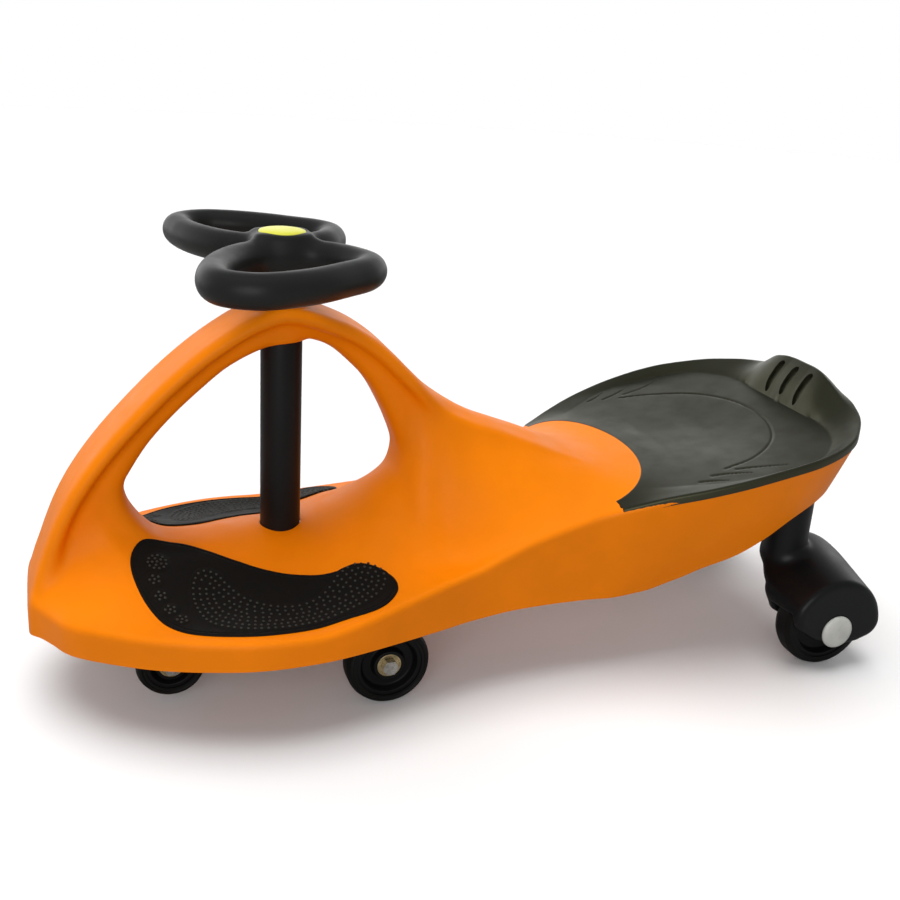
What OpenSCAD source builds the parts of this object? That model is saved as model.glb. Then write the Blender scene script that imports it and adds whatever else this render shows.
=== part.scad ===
// Swing car: a ride-on toy driven by turning its handlebar from side to side.
// X points to the nose, Y to the rider's left, Z up, with the floor at zero.

/* [Body shell] */
// Length of the moulded body from nose to tail
body_length = 784; // [740:2:830]
// Width across the foot deck
deck_width = 310; // [290:2:340]
// Width across the seat tub
tub_width = 310; // [290:2:330]
// Height of the body's lower edge above the floor
ground_clearance = 78; // [76:1:90]
// Height of the deck's edge above the lower edge
skirt_depth = 24; // [16:1:36]
// Rise of the deck from its edge to its middle
deck_crown = 30; // [24:1:40]
// Rise of the rim from the deck's edge to the tail
tail_rise = 150; // [130:2:170]
// Rise of the lower edge from the front to the tail
tail_undercut = 138; // [120:2:144]
// Rise of the neck behind the arch
neck_rise = 144; // [120:2:150]
// Height of the arch's top above the floor
arch_top = 343; // [335:1:360]
// Width of the arch's outer band
arch_band = 72; // [60:1:84]
// Wall of the moulding
wall = 3.5; // [2.5:0.1:4.5]

/* [Seat] */
// Depth of the seat's dish below its rim
dish_depth = 14; // [8:1:18]
// Thickness of the seat
seat_thickness = 4; // [3:0.1:6]
// Rise of the back lip above the rim
lip_rise = 13; // [6:1:20]
// Width of the back lip
lip_width = 150; // [110:2:190]
// Width of the body's rim left bare around the seat
rim_border = 4; // [3:0.5:8]
// Length of the body's tongue into the seat
tongue_length = 64; // [50:1:76]
// Length of a grip slot in the back lip
slot_length = 26; // [16:1:32]
// Width of a grip slot
slot_width = 5; // [4:0.5:8]
// Distance between grip slots
slot_pitch = 20; // [14:1:26]

/* [Foot pads] */
// Thickness of a foot pad
pad_thickness = 3; // [2.4:0.1:3.2]
// Height of a foot pad above the deck
pad_proud = 1; // [0.4:0.1:1.6]

/* [Steering] */
// Diameter of the steering shaft
shaft_diameter = 12; // [10:0.5:14]
// Outer diameter of the column sleeve
sleeve_diameter = 36; // [32:0.5:40]
// Height of the handlebar's hub
hub_height = 49.2; // [44:0.2:60]
// Diameter of the hub cap
cap_diameter = 40; // [36:0.5:44]
// Diameter of the handlebar's tube
grip_diameter = 27; // [22:0.5:30]
// Length of a handlebar loop along the car
loop_length = 134; // [120:1:150]
// Reach of a handlebar loop to the side
loop_reach = 138; // [124:1:150]
// Distance of the front axle behind the steering axis
front_trail = 77; // [76:1:90]
// Distance of the nose axle ahead of the steering axis
nose_lead = 107; // [96:1:112]
// Distance between the middles of the front wheels
front_track = 192; // [180:1:204]
// Distance between the middles of the nose wheels
nose_track = 114; // [106:1:124]
// Height that the nose wheels clear the floor by
nose_lift = 11; // [6:0.5:12]

/* [Wheels] */
// Diameter of the front wheels
front_diameter = 76; // [66:1:76]
// Diameter of the nose wheels
nose_diameter = 60; // [54:1:66]
// Width of the front and nose wheels
front_width = 26; // [22:1:28]
// Diameter of the rear wheels
rear_diameter = 89; // [80:1:96]
// Width of the rear wheels
rear_width = 26; // [22:1:30]
// Diameter of the axles
axle_diameter = 8; // [7:0.1:9]
// Outer diameter of a ball bearing
bearing_diameter = 22; // [20:0.1:24]
// Width of a ball bearing
bearing_width = 7; // [6:0.1:8]
// Thickness of the tyres
tyre_thickness = 8; // [5:0.5:10]

/* [Rear legs] */
// Length of a leg's neck along the car
leg_length = 47; // [40:1:54]
// Thickness of a leg's neck
leg_thickness = 42; // [36:1:46]
// Distance of the rear axle behind the middle of the leg's neck
rear_setback = 37; // [30:1:44]
// Distance of the rear wheel outboard of the leg's neck
wheel_outset = 48; // [44:1:54]
// Wall of the wheel hood
hood_wall = 5; // [4:0.5:7]
// Thickness of a fork cheek
cheek_thickness = 11; // [9:0.5:13]
// Diameter of an axle cap
axle_cap_diameter = 33; // [28:0.5:36]

/* [Hidden] */

$fn = 64;
hull_fn = 32;
overrun = 2;
// Gap of a part set into another, and of a shaft turning in its hole
seat_gap = 0.3;
run_gap = 0.05;
orange = "darkorange";
black = [0.13, 0.13, 0.13];
steel = "silver";

// Body curves. Each row gives a station along the body, from tail to nose, and the
// shares there of the deck width, tub width, edge rise, lower edge's width, lower
// edge's rise, deck crown and neck rise, with the fullness of the top.
body_shares = [
    [0.000, 0.000, 0.130, 1.000, 0.80, 1.000, 0.00, 0.000, 1.0],
    [0.009, 0.000, 0.400, 0.987, 0.80, 0.942, 0.00, 0.000, 1.0],
    [0.031, 0.000, 0.665, 0.953, 0.80, 0.855, 0.00, 0.000, 1.0],
    [0.064, 0.000, 0.858, 0.900, 0.79, 0.725, 0.00, 0.000, 1.0],
    [0.106, 0.000, 0.968, 0.833, 0.77, 0.565, 0.00, 0.000, 1.0],
    [0.170, 0.000, 1.000, 0.740, 0.79, 0.348, 0.00, 0.000, 1.0],
    [0.268, 0.000, 0.916, 0.607, 0.82, 0.100, 0.00, 0.014, 1.0],
    [0.315, 0.080, 0.740, 0.540, 0.88, 0.010, 0.00, 0.104, 1.1],
    [0.362, 0.230, 0.495, 0.467, 0.96, -0.02, 0.00, 0.222, 1.3],
    [0.430, 0.360, 0.350, 0.353, 0.99, -0.02, 0.00, 0.424, 1.7],
    [0.474, 0.480, 0.240, 0.275, 1.00, -0.02, 0.00, 0.590, 2.0],
    [0.504, 0.585, 0.150, 0.213, 1.01, -0.01, 0.00, 0.722, 2.2],
    [0.526, 0.660, 0.100, 0.167, 1.00, 0.000, 0.00, 0.833, 2.4],
    [0.554, 0.760, 0.035, 0.115, 1.00, 0.000, 0.00, 0.920, 2.8],
    [0.577, 0.840, 0.000, 0.087, 1.00, 0.000, 0.00, 0.700, 3.0],
    [0.596, 0.872, 0.000, 0.060, 1.00, 0.000, 0.00, 0.380, 3.0],
    [0.608, 0.888, 0.000, 0.047, 1.00, 0.000, 0.30, 0.220, 2.8],
    [0.621, 0.905, 0.000, 0.036, 1.00, 0.000, 1.00, 0.050, 2.2],
    [0.634, 0.923, 0.000, 0.027, 1.00, 0.000, 1.15, 0.000, 1.8],
    [0.671, 0.965, 0.000, 0.013, 1.00, 0.000, 1.02, 0.000, 1.6],
    [0.719, 1.000, 0.000, 0.000, 1.00, 0.000, 1.00, 0.000, 1.6],
    [0.802, 0.961, 0.000, 0.000, 1.00, 0.000, 1.00, 0.000, 1.6],
    [0.868, 0.840, 0.000, -0.004, 1.00, 0.000, 1.28, 0.000, 1.5],
    [0.898, 0.750, 0.000, -0.008, 1.00, 0.000, 1.20, 0.000, 1.3],
    [0.929, 0.645, 0.000, -0.013, 1.00, 0.000, 0.92, 0.000, 1.1],
    [0.967, 0.465, 0.000, -0.027, 1.00, 0.000, 0.52, 0.000, 1.0],
    [0.988, 0.284, 0.000, -0.040, 1.00, 0.000, 0.25, 0.000, 1.0],
    [1.000, 0.103, 0.000, -0.047, 1.00, 0.000, 0.06, 0.000, 1.0]];
// Places across the top of the body, from its edge to the middle, outside and inside
top_shares = [1, 0.97, 0.9, 0.8, 0.68, 0.55, 0.42, 0.29, 0.15, 0];
hollow_shares = [1, 0.9, 0.8, 0.68, 0.55, 0.42, 0.22, 0];

// Arch curves. Each row gives a point of the outer edge and one of the hole's edge,
// as shares of the body length and of the arch's height above the lower edge, and
// then the shares of the band's width at the outer edge and at the hole.
arch_shares = [
    [0.975, 0.030, 0.860, 0.060, 0.90, 0.95],
    [0.987, 0.174, 0.872, 0.235, 1.00, 0.80],
    [0.967, 0.317, 0.886, 0.370, 1.00, 0.62],
    [0.941, 0.460, 0.889, 0.487, 1.00, 0.56],
    [0.903, 0.611, 0.866, 0.592, 1.00, 0.54],
    [0.851, 0.774, 0.819, 0.732, 1.00, 0.55],
    [0.806, 0.879, 0.783, 0.819, 1.00, 0.58],
    [0.761, 0.966, 0.746, 0.872, 1.00, 0.62],
    [0.719, 1.000, 0.714, 0.894, 1.00, 0.64],
    [0.672, 0.977, 0.688, 0.891, 1.00, 0.62],
    [0.633, 0.917, 0.661, 0.849, 1.00, 0.58],
    [0.592, 0.819, 0.636, 0.774, 1.00, 0.55],
    [0.554, 0.702, 0.617, 0.687, 1.00, 0.55],
    [0.518, 0.612, 0.602, 0.574, 0.92, 0.62],
    [0.481, 0.540, 0.594, 0.479, 0.75, 0.70],
    [0.440, 0.450, 0.605, 0.280, 0.50, 0.80]];
// The arch's section: share of the way out from the hole, then of the hole's and the band's width
section_shares = [
    [0.00, 0.60, 0.00], [0.05, 0.92, 0.00], [0.16, 1.00, 0.00], [0.44, 0.72, 0.22],
    [0.66, 0.00, 0.92], [0.80, 0.00, 1.00], [0.93, 0.00, 0.94], [1.00, 0.00, 0.66]];
apex_share = 0.719;

// Seat and pads. The seat's rows give a station, then the shares of the dish's depth,
// of the back lip and of the pocket under the seat.
seat_shares = [
    [0.000, 0.00, 1.00, 0.3], [0.031, 0.12, 0.95, 0.6], [0.064, 0.60, 0.55, 1.0],
    [0.100, 0.95, 0.12, 1.0], [0.130, 1.00, 0.00, 1.0], [0.268, 0.90, 0.00, 1.0],
    [0.315, 0.50, 0.00, 0.8], [0.362, 0.08, 0.00, 0.3], [0.430, 0.00, 0.00, 0.0],
    [1.000, 0.00, 0.00, 0.0]];
seat_front_share = 0.3615;
tongue_width_share = 0.94;
dish_wall_share = 0.26;
across_shares = [-1, -0.96, -0.9, -0.82, -0.72, -0.5, -0.25, 0, 0.25, 0.5, 0.72, 0.82, 0.9, 0.96, 1];
slot_place_share = 0.052;
seat_screw_shares = [[0.10, 0.30], [0.21, 0.62], [0.285, 0.72]];
// Outline of a foot pad: shares of the body length and of half the deck width
pad_shares = [
    [0.869, 0.140], [0.851, 0.100], [0.837, 0.118], [0.816, 0.185], [0.796, 0.268], [0.776, 0.345],
    [0.757, 0.412], [0.737, 0.460], [0.721, 0.484], [0.694, 0.500], [0.671, 0.494], [0.648, 0.506],
    [0.631, 0.585], [0.624, 0.700], [0.634, 0.780], [0.660, 0.836], [0.700, 0.880], [0.745, 0.905],
    [0.790, 0.890], [0.830, 0.830], [0.857, 0.740], [0.876, 0.580], [0.889, 0.400], [0.889, 0.240]];
pad_ring_shares = [0.35, 0.7, 0.93, 1];

// Plan of a handlebar loop: shares of its length and of its reach
loop_shares = [
    [0.56, 0.83], [0.55, 0.60], [0.49, 0.39], [0.36, 0.21], [0.17, 0.11], [0.00, 0.09], [-0.17, 0.11],
    [-0.32, 0.21], [-0.42, 0.36], [-0.445, 0.51], [-0.38, 0.64], [-0.22, 0.76], [-0.03, 0.88],
    [0.16, 0.965], [0.34, 1.00], [0.49, 0.945]];
loop_sides = 12;
loop_steps = 2;
look_ahead_share = 0.1;

// Heights
deck_edge = ground_clearance + skirt_depth;
tail_edge = deck_edge + tail_rise;
arch_height = arch_top - ground_clearance;

// Steering stack
steering_x = x_at(apex_share);
deck_middle = edge_at(apex_share) + rise_at(apex_share);
front_radius = front_diameter / 2;
nose_radius = nose_diameter / 2;
nose_height = nose_radius + nose_lift;
plate_room = 6;
plate_thickness = 12;
plate_bottom = front_diameter + plate_room;
plate_top = plate_bottom + plate_thickness;
hub_collar = 3;
arm_top = plate_top + hub_collar;
washer_thickness = 1.5;
bush_wall = 3;
bush_flange = 3;
boss_wall = 6;
bush_bottom = arm_top + washer_thickness + seat_gap;
boss_bottom = bush_bottom + bush_flange;
bush_diameter = sleeve_diameter + 2 * (run_gap + bush_wall);
boss_diameter = bush_diameter + 2 * boss_wall;
sleeve_wall = 5;
upper_bush_wall = 5;
upper_bush_diameter = shaft_diameter + 2 * (run_gap + upper_bush_wall);
upper_boss_diameter = 40;
collar_drop = 12;
upper_boss_bottom = ground_clearance + arch_height * arch_shares[8][3] - collar_drop;
upper_boss_top = arch_top + bush_flange;
sleeve_top = upper_boss_bottom - seat_gap;
upper_flange_top = upper_boss_top + bush_flange;
hub_bottom = upper_flange_top + seat_gap + washer_thickness;
cap_height = 5;
hub_top = hub_bottom + hub_height;
cap_top = hub_top + cap_height;
hub_rim = 3;
hub_diameter = cap_diameter + 2 * hub_rim;
nut_height = 0.8 * shaft_diameter;
nut_width = 1.6 * shaft_diameter;
nut_room = 2;
recess_depth = nut_height + 2 * nut_room;
nut_bottom = hub_top - recess_depth;
head_height = 0.65 * shaft_diameter;
arm_hub_diameter = boss_diameter - 2 * bush_flange;
hub_skirt = 10;
arm_bottom = plate_bottom - hub_skirt;
loop_height = cap_top - 1.55 * grip_diameter / 2;

// Wheels and axles
hub_inset = 2;
front_axle_x = steering_x - front_trail;
nose_axle_x = steering_x + nose_lead;
front_y = front_track / 2;
nose_y = nose_track / 2;
front_hub_width = front_width - 2 * hub_inset;
rear_hub_width = rear_width - 2 * hub_inset;
rear_radius = rear_diameter / 2;
spigot_length = 4;
ear_thickness = 18;
ear_radius = 15;
bolt_head = 0.65 * axle_diameter;
bolt_width = 1.6 * axle_diameter;
bearing_lip = 3;
dish_share = 0.5;

// Rear legs
leg_share = 0.1135;
leg_place_share = 0.542;
leg_x = x_at(leg_share);
leg_y = leg_place_share * tub_width / 2;
rear_axle_x = leg_x - rear_setback;
rear_y = leg_y + wheel_outset;
tyre_room = 4;
hood_radius = rear_radius + tyre_room + hood_wall;
side_room = 2.5;
cavity_half = rear_width / 2 + side_room;
hood_half = cavity_half + cheek_thickness;
pocket_depth = dish_depth + seat_thickness + seat_gap;
leg_boss_drop = 20;
leg_top = edge_at(leg_share) - pocket_depth - wall - leg_boss_drop;
leg_knee_share = 0.7;
leg_knee = rear_diameter + leg_knee_share * (leg_top - rear_diameter) / 2;
leg_screw_diameter = 5;
leg_screw_pitch = leg_length / 2;
leg_screw_grip = 18;
leg_screw_drop = 8;
screw_head_share = 2;
cap_recess_diameter = 20;
cap_recess_depth = 0.75 * cheek_thickness;
axle_cap_thickness = 5;
// Hood opening below, as shares of the hood's radius from the axle
hood_cut_shares = [[-1.5, -0.42], [-0.78, -0.42], [-0.2, -0.3], [0.4, -0.16], [0.78, 0.16], [1.5, 0.3],
    [1.5, -1.5], [-1.5, -1.5]];

// Seat screws
seat_screw_diameter = 4;
post_diameter = 9;
post_drop = 5;
screw_head_thickness = 3;

// Smooth curve through a table's rows, without overshoot
function row_at(t, s) = max([for (i = [0:len(t) - 2]) if (t[i][0] <= s || i == 0) i]);
function grade(t, i, c) = (t[i + 1][c] - t[i][c]) / (t[i + 1][0] - t[i][0]);
function slope(t, i, c) =
    i == 0 ? grade(t, 0, c) :
    i == len(t) - 1 ? grade(t, i - 1, c) :
    let (a = grade(t, i - 1, c), b = grade(t, i, c)) a * b <= 0 ? 0 : 2 * a * b / (a + b);
function along(t, s, c) =
    let (i = row_at(t, s), w = t[i + 1][0] - t[i][0], u = (s - t[i][0]) / w)
    t[i][c] * (1 - 3 * u * u + 2 * u * u * u) + t[i + 1][c] * (3 * u * u - 2 * u * u * u)
    + w * slope(t, i, c) * u * (1 - u) * (1 - u) - w * slope(t, i + 1, c) * u * u * (1 - u);
function ease(u) = u <= 0 ? 0 : u >= 1 ? 1 : u * u * (3 - 2 * u);

// The body's outline and top at a station
function x_at(s) = (s - 0.5) * body_length;
function share_at(x) = x / body_length + 0.5;
function half_at(s) = (along(body_shares, s, 1) * deck_width + along(body_shares, s, 2) * tub_width) / 2;
function edge_at(s) = deck_edge + along(body_shares, s, 3) * tail_rise;
function foot_at(s) = ground_clearance + along(body_shares, s, 5) * tail_undercut;
function rise_at(s) = along(body_shares, s, 6) * deck_crown + along(body_shares, s, 7) * neck_rise;
function top_at(s, u) = edge_at(s) + rise_at(s) * pow(1 - u * u, along(body_shares, s, 8));
function side_at(s, z) =
    let (low = along(body_shares, s, 4), t = (z - foot_at(s)) / (edge_at(s) - foot_at(s)))
    half_at(s) * (low + (1 - low) * t);
function deck_at(x, y) = top_at(share_at(x), min(1, abs(y) / half_at(share_at(x))));

// Stations: every row of the body's table, and one between rows that lie far apart
station_step_share = 0.032;
stations = [for (i = [0:len(body_shares) - 2])
    let (a = body_shares[i][0], b = body_shares[i + 1][0])
    each (b - a < station_step_share ? [a] : [a, (a + b) / 2]), 1];
seat_stations = [for (s = stations) if (s < seat_front_share) s, seat_front_share];

// Closed surface through rings of points; point k of a ring mirrors the k-th from its end
module skin(rings, looped = false) {
    n = len(rings[0]);
    m = len(rings);
    sides = [for (i = [0:looped ? m - 1 : m - 2], k = [0:n - 1])
        let (a = i * n + k, b = i * n + (k + 1) % n, c = ((i + 1) % m) * n + k, d = ((i + 1) % m) * n + (k + 1) % n)
        each [[a, b, d], [a, d, c]]];
    ends = looped ? [] : [for (k = [0:floor((n - 1) / 2) - 1], e = [0, 1])
        let (o = e * (m - 1) * n, a = o + k, b = o + k + 1, c = o + n - 2 - k, d = o + n - 1 - k)
        each (e == 0 ? [if (b != c) [a, c, b], [a, d, c]] : [if (b != c) [a, b, c], [a, c, d]])];
    polyhedron([for (r = rings, p = r) p], [for (f = concat(sides, ends)) f]);
}

function mirrored(half) = concat(half, [for (i = [len(half) - 1:-1:0]) if (half[i][1] != 0)
    [half[i][0], -half[i][1], half[i][2]]]);

// The body's hull, solid, or its hollow when inset by the wall
function body_ring(s, inset) =
    let (x = x_at(s) * (1 - 2 * inset / body_length),
        drop = inset == 0 ? 0 : inset + pocket_depth * along(seat_shares, s, 3),
        foot = inset == 0 ? foot_at(s) : foot_at(s) - overrun,
        half = side_at(s, edge_at(s) - drop) - inset)
    mirrored(concat([[x, -(side_at(s, foot) - inset), foot]],
        [for (u = inset == 0 ? top_shares : hollow_shares) [x, -u * half, top_at(s, u) - drop]]));

module body_hull(inset) skin([for (s = stations) body_ring(s, inset)]);

// The arch, solid, or its hollow when inset by the wall
function arch_ring(row, inset) =
    let (outer = [x_at(row[0]), ground_clearance + row[1] * arch_height],
        hole = [x_at(row[2]), ground_clearance + row[3] * arch_height],
        way = outer - hole, step = inset / norm(way),
        point = function (t) hole + way * (step + t * (1 - 2 * step)))
    mirrored([for (q = section_shares)
        [point(q[0])[0], (q[1] * row[5] + q[2] * row[4]) * arch_band / 2 - inset, point(q[0])[1]]]);

module arch(inset) skin([for (row = arch_shares) arch_ring(row, inset)]);

// The seat: a dished plate with a raised lip at the back
function seat_half(s, grow) = half_at(s) - rim_border + grow;
function seat_top(s, v) =
    let (side = ease((abs(v) - 1 + dish_wall_share) / dish_wall_share),
        lip = 1 - ease(abs(v) * half_at(s) / (lip_width / 2)))
    edge_at(s) - dish_depth * along(seat_shares, s, 1) * (1 - side) + lip_rise * along(seat_shares, s, 2) * lip;
function seat_x(s, grow) = x_at(s) + (s < seat_front_share / 2 ? rim_border - grow : grow);
function seat_ring(s, grow, up) = concat(
    [for (v = across_shares) [seat_x(s, grow), v * seat_half(s, grow), seat_top(s, v) + up]],
    [for (i = [len(across_shares) - 1:-1:0])
        [seat_x(s, grow), across_shares[i] * seat_half(s, grow), seat_top(s, across_shares[i]) - seat_thickness - grow]]);

module seat_plate(grow, up) {
    base_x = x_at(seat_front_share);
    reach = tongue_length - grow;
    width = tongue_width_share * half_at(seat_front_share) - grow;
    difference() {
        skin([for (s = seat_stations) seat_ring(s, grow, up)]);
        linear_extrude(cap_top)
            polygon([for (a = [-90:6:90]) [base_x - reach * cos(a), width * sin(a)],
                [base_x + tongue_length, width], [base_x + tongue_length, -width]]);
    }
}

function seat_screw_places() = [for (p = seat_screw_shares, side = [-1, 1])
    [x_at(p[0]), side * p[1] * half_at(p[0])]];
function seat_under(p) =
    let (s = share_at(p[0])) seat_top(s, p[1] / seat_half(s, 0)) - seat_thickness;
function post_bottom(p) = seat_under(p) - seat_gap - wall - post_drop;

module seat() color(black) difference() {
    union() {
        resize([0, 0, 0]) seat_plate(0, 0);
        for (p = seat_screw_places())
            translate([p[0], p[1], post_bottom(p)])
                cylinder(h = seat_under(p) - post_bottom(p) + seat_thickness / 2, d = post_diameter);
    }
    for (p = seat_screw_places())
        translate([p[0], p[1], post_bottom(p) - overrun])
            cylinder(h = seat_under(p) - post_bottom(p), d = seat_screw_diameter + 2 * run_gap);
    for (i = [-1:1])
        translate([x_at(slot_place_share), i * slot_pitch, edge_at(slot_place_share) - dish_depth - overrun])
            slot(slot_length, slot_width, dish_depth + lip_rise + 2 * seat_thickness);
}

module slot(length, width, height) {
    straight = length - width;
    translate([-straight / 2, -width / 2, 0]) cube([straight, width, height]);
    for (e = [-1, 1]) translate([e * straight / 2, 0, 0]) cylinder(h = height, d = width);
}

module seat_screws() color(steel)
    for (p = seat_screw_places()) translate([p[0], p[1], post_bottom(p)]) {
        cylinder(h = seat_under(p) - post_bottom(p) - 2 * overrun, d = seat_screw_diameter);
        translate([0, 0, -screw_head_thickness])
            cylinder(h = screw_head_thickness, d = screw_head_share * post_diameter);
    }

// A foot pad: its outline drawn in to a middle point in rings, lying along the deck
pad_middle = [
    x_at([for (p = pad_shares) p[0]] * [for (p = pad_shares) 1] / len(pad_shares)),
    [for (p = pad_shares) p[1]] * [for (p = pad_shares) 1] / len(pad_shares) * deck_width / 2];
function pad_point(p, r, grow) =
    let (edge = [x_at(p[0]), p[1] * deck_width / 2], way = edge - pad_middle)
    pad_middle + way * (1 + grow / norm(way)) * r;

module pad_plate(grow, up, side) {
    n = len(pad_shares);
    m = len(pad_ring_shares);
    depth = pad_thickness - pad_proud + grow;
    plan = concat([pad_middle], [for (r = pad_ring_shares, p = pad_shares) pad_point(p, r, grow)]);
    top = [for (q = plan) [q[0], side * q[1], deck_at(q[0], q[1]) + pad_proud + up]];
    low = [for (q = plan) [q[0], side * q[1], deck_at(q[0], q[1]) - depth]];
    count = len(plan);
    fan = [for (k = [0:n - 1]) [0, 1 + k, 1 + (k + 1) % n]];
    bands = [for (i = [0:m - 2], k = [0:n - 1])
        let (a = 1 + i * n + k, b = 1 + i * n + (k + 1) % n)
        each [[a, a + n, b + n], [a, b + n, b]]];
    cover = concat(fan, bands);
    rim = [for (k = [0:n - 1])
        let (a = 1 + (m - 1) * n + k, b = 1 + (m - 1) * n + (k + 1) % n)
        each [[a, a + count, b + count], [a, b + count, b]]];
    under = [for (f = cover) [f[0] + count, f[2] + count, f[1] + count]];
    polyhedron(concat(top, low), [for (f = concat(cover, rim, under)) side > 0 ? f : [f[0], f[2], f[1]]]);
}

module foot_pad_left() color(black) pad_plate(0, 0, 1);
module foot_pad_right() color(black) pad_plate(0, 0, -1);

// The moulded body: hull and arch, hollow and open below, with pockets and bosses
module body_moulding() {
    difference() {
        union() {
            body_hull(0);
            arch(0);
        }
        difference() {
            union() {
                body_hull(wall);
                arch(wall);
            }
            translate([steering_x, 0, boss_bottom])
                cylinder(h = deck_middle - boss_bottom, d = boss_diameter, $fn = hull_fn);
            translate([steering_x, 0, upper_boss_bottom])
                cylinder(h = arch_height, d = upper_boss_diameter, $fn = hull_fn);
            for (side = [-1, 1])
                translate([leg_x, side * leg_y, leg_top])
                    cylinder(h = tail_rise, d = leg_thickness, $fn = hull_fn);
        }
        seat_plate(seat_gap, arch_height);
        for (side = [-1, 1]) pad_plate(seat_gap, deck_crown, side);
    }
    difference() {
        translate([steering_x, 0, upper_boss_bottom])
            cylinder(h = upper_boss_top - upper_boss_bottom, d = upper_boss_diameter, $fn = hull_fn);
        arch(wall);
    }
}

module body_shell() color(orange) difference() {
    resize([0, 0, 0]) body_moulding();
    translate([steering_x, 0, boss_bottom - overrun])
        cylinder(h = deck_middle, d = sleeve_diameter + 2 * seat_gap);
    translate([steering_x, 0, boss_bottom - overrun])
        cylinder(h = deck_middle - wall - boss_bottom + overrun, d = bush_diameter + 2 * run_gap);
    translate([steering_x, 0, upper_boss_bottom - overrun])
        cylinder(h = arch_height, d = upper_bush_diameter + 2 * run_gap);
    for (p = seat_screw_places())
        translate([p[0], p[1], post_bottom(p)])
            cylinder(h = seat_under(p) - post_bottom(p) + seat_thickness, d = post_diameter + 2 * seat_gap);
    for (p = leg_screw_places())
        translate([p[0], p[1], leg_top - overrun]) {
            cylinder(h = tail_rise, d = leg_screw_diameter + 2 * run_gap);
            translate([0, 0, leg_screw_seat() - leg_top + overrun])
                cylinder(h = tail_rise, d = screw_head_share * leg_screw_diameter + 2 * seat_gap);
        }
}

// Bushes that the steering turns in
module upper_bush() color("ivory") translate([steering_x, 0, 0]) difference() {
    union() {
        translate([0, 0, upper_boss_bottom + seat_gap])
            cylinder(h = upper_boss_top - upper_boss_bottom - seat_gap, d = upper_bush_diameter);
        translate([0, 0, upper_boss_top]) cylinder(h = bush_flange, d = upper_boss_diameter - 2 * bush_flange);
    }
    cylinder(h = cap_top, d = shaft_diameter + 2 * run_gap);
}

module lower_bush() color("ivory") translate([steering_x, 0, 0]) difference() {
    union() {
        translate([0, 0, bush_bottom]) cylinder(h = deck_middle - wall - seat_gap - bush_bottom, d = bush_diameter);
        translate([0, 0, bush_bottom]) cylinder(h = bush_flange, d = boss_diameter);
    }
    cylinder(h = cap_top, d = sleeve_diameter + 2 * run_gap);
}

// Rear legs, each a neck that widens into a fork with a hood over its wheel
function leg_screw_places() = [for (side = [-1, 1], e = [-1, 1])
    [leg_x + e * leg_screw_pitch / 2, side * leg_y]];
function leg_screw_seat() = leg_top + leg_boss_drop - leg_screw_drop;

module along_y(x, y, z) translate([x, y, z]) rotate([-90, 0, 0]) children();

module leg_section(z, thickness, length) {
    rounding = thickness / 2;
    for (e = [-1, 1])
        translate([leg_x + e * (length / 2 - rounding), leg_y, z])
            cylinder(h = wall, r = rounding, $fn = hull_fn);
}

module rear_leg_left() color(black) difference() {
    union() {
        hull() {
            leg_section(leg_top - wall, leg_thickness, leg_length);
            leg_section(leg_knee, leg_thickness, leg_length);
        }
        hull() {
            leg_section(leg_knee, leg_thickness, leg_length);
            along_y(rear_axle_x, rear_y - hood_half, rear_radius)
                cylinder(h = 2 * hood_half, r = hood_radius - hood_wall, $fn = hull_fn);
            along_y(rear_axle_x, rear_y - hood_half + hood_wall, rear_radius)
                cylinder(h = 2 * (hood_half - hood_wall), r = hood_radius, $fn = hull_fn);
        }
    }
    difference() {
        along_y(rear_axle_x, rear_y - cavity_half, rear_radius)
            cylinder(h = 2 * cavity_half, r = rear_radius + tyre_room);
        for (side = [-1, 1])
            along_y(rear_axle_x, rear_y + side * (rear_hub_width / 2 + seat_gap + spigot_length)
                - spigot_length, rear_radius)
                cylinder(h = 2 * spigot_length, d = axle_diameter + 2 * bearing_lip);
    }
    translate([rear_axle_x, rear_y + 2 * hood_half, rear_radius]) rotate([90, 0, 0])
        linear_extrude(4 * hood_half) polygon(hood_cut_shares * hood_radius);
    along_y(rear_axle_x, rear_y - 2 * hood_half, rear_radius)
        cylinder(h = 4 * hood_half, d = axle_diameter + 2 * run_gap);
    along_y(rear_axle_x, rear_y + hood_half - cap_recess_depth, rear_radius)
        cylinder(h = hood_half, d = cap_recess_diameter + 2 * run_gap);
    along_y(rear_axle_x, rear_y - 2 * hood_half, rear_radius) cylinder(h = hood_half, d = cap_recess_diameter);
    for (e = [-1, 1])
        translate([leg_x + e * leg_screw_pitch / 2, leg_y, leg_top - leg_screw_grip - overrun])
            cylinder(h = tail_rise, d = leg_screw_diameter + 2 * run_gap);
}

module rear_leg_right() mirror([0, 1, 0]) rear_leg_left();

module rear_leg_screws() color(steel)
    for (p = leg_screw_places()) translate([p[0], p[1], leg_top - leg_screw_grip]) {
        cylinder(h = leg_screw_grip + leg_screw_seat() - leg_top, d = leg_screw_diameter);
        translate([0, 0, leg_screw_grip + leg_screw_seat() - leg_top])
            cylinder(h = leg_screw_diameter / 2, d = screw_head_share * leg_screw_diameter);
    }

module hex(h, width) cylinder(h = h, d = width / cos(30), $fn = 6);

module rear_axle_left() color(steel) {
    along_y(rear_axle_x, rear_y - hood_half - bolt_head, rear_radius) hex(bolt_head, bolt_width);
    along_y(rear_axle_x, rear_y - hood_half - bolt_head, rear_radius)
        cylinder(h = 2 * hood_half + bolt_head - seat_gap - spigot_length / 2, d = axle_diameter);
}

module rear_axle_right() mirror([0, 1, 0]) rear_axle_left();

module rear_axle_nuts() color(steel) for (side = [0, 1]) mirror([0, side, 0])
    along_y(rear_axle_x, rear_y + hood_half - cap_recess_depth, rear_radius) difference() {
        hex(bolt_head, bolt_width);
        translate([0, 0, -overrun]) cylinder(h = bolt_head + 2 * overrun, d = axle_diameter + 2 * run_gap);
    }

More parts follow.
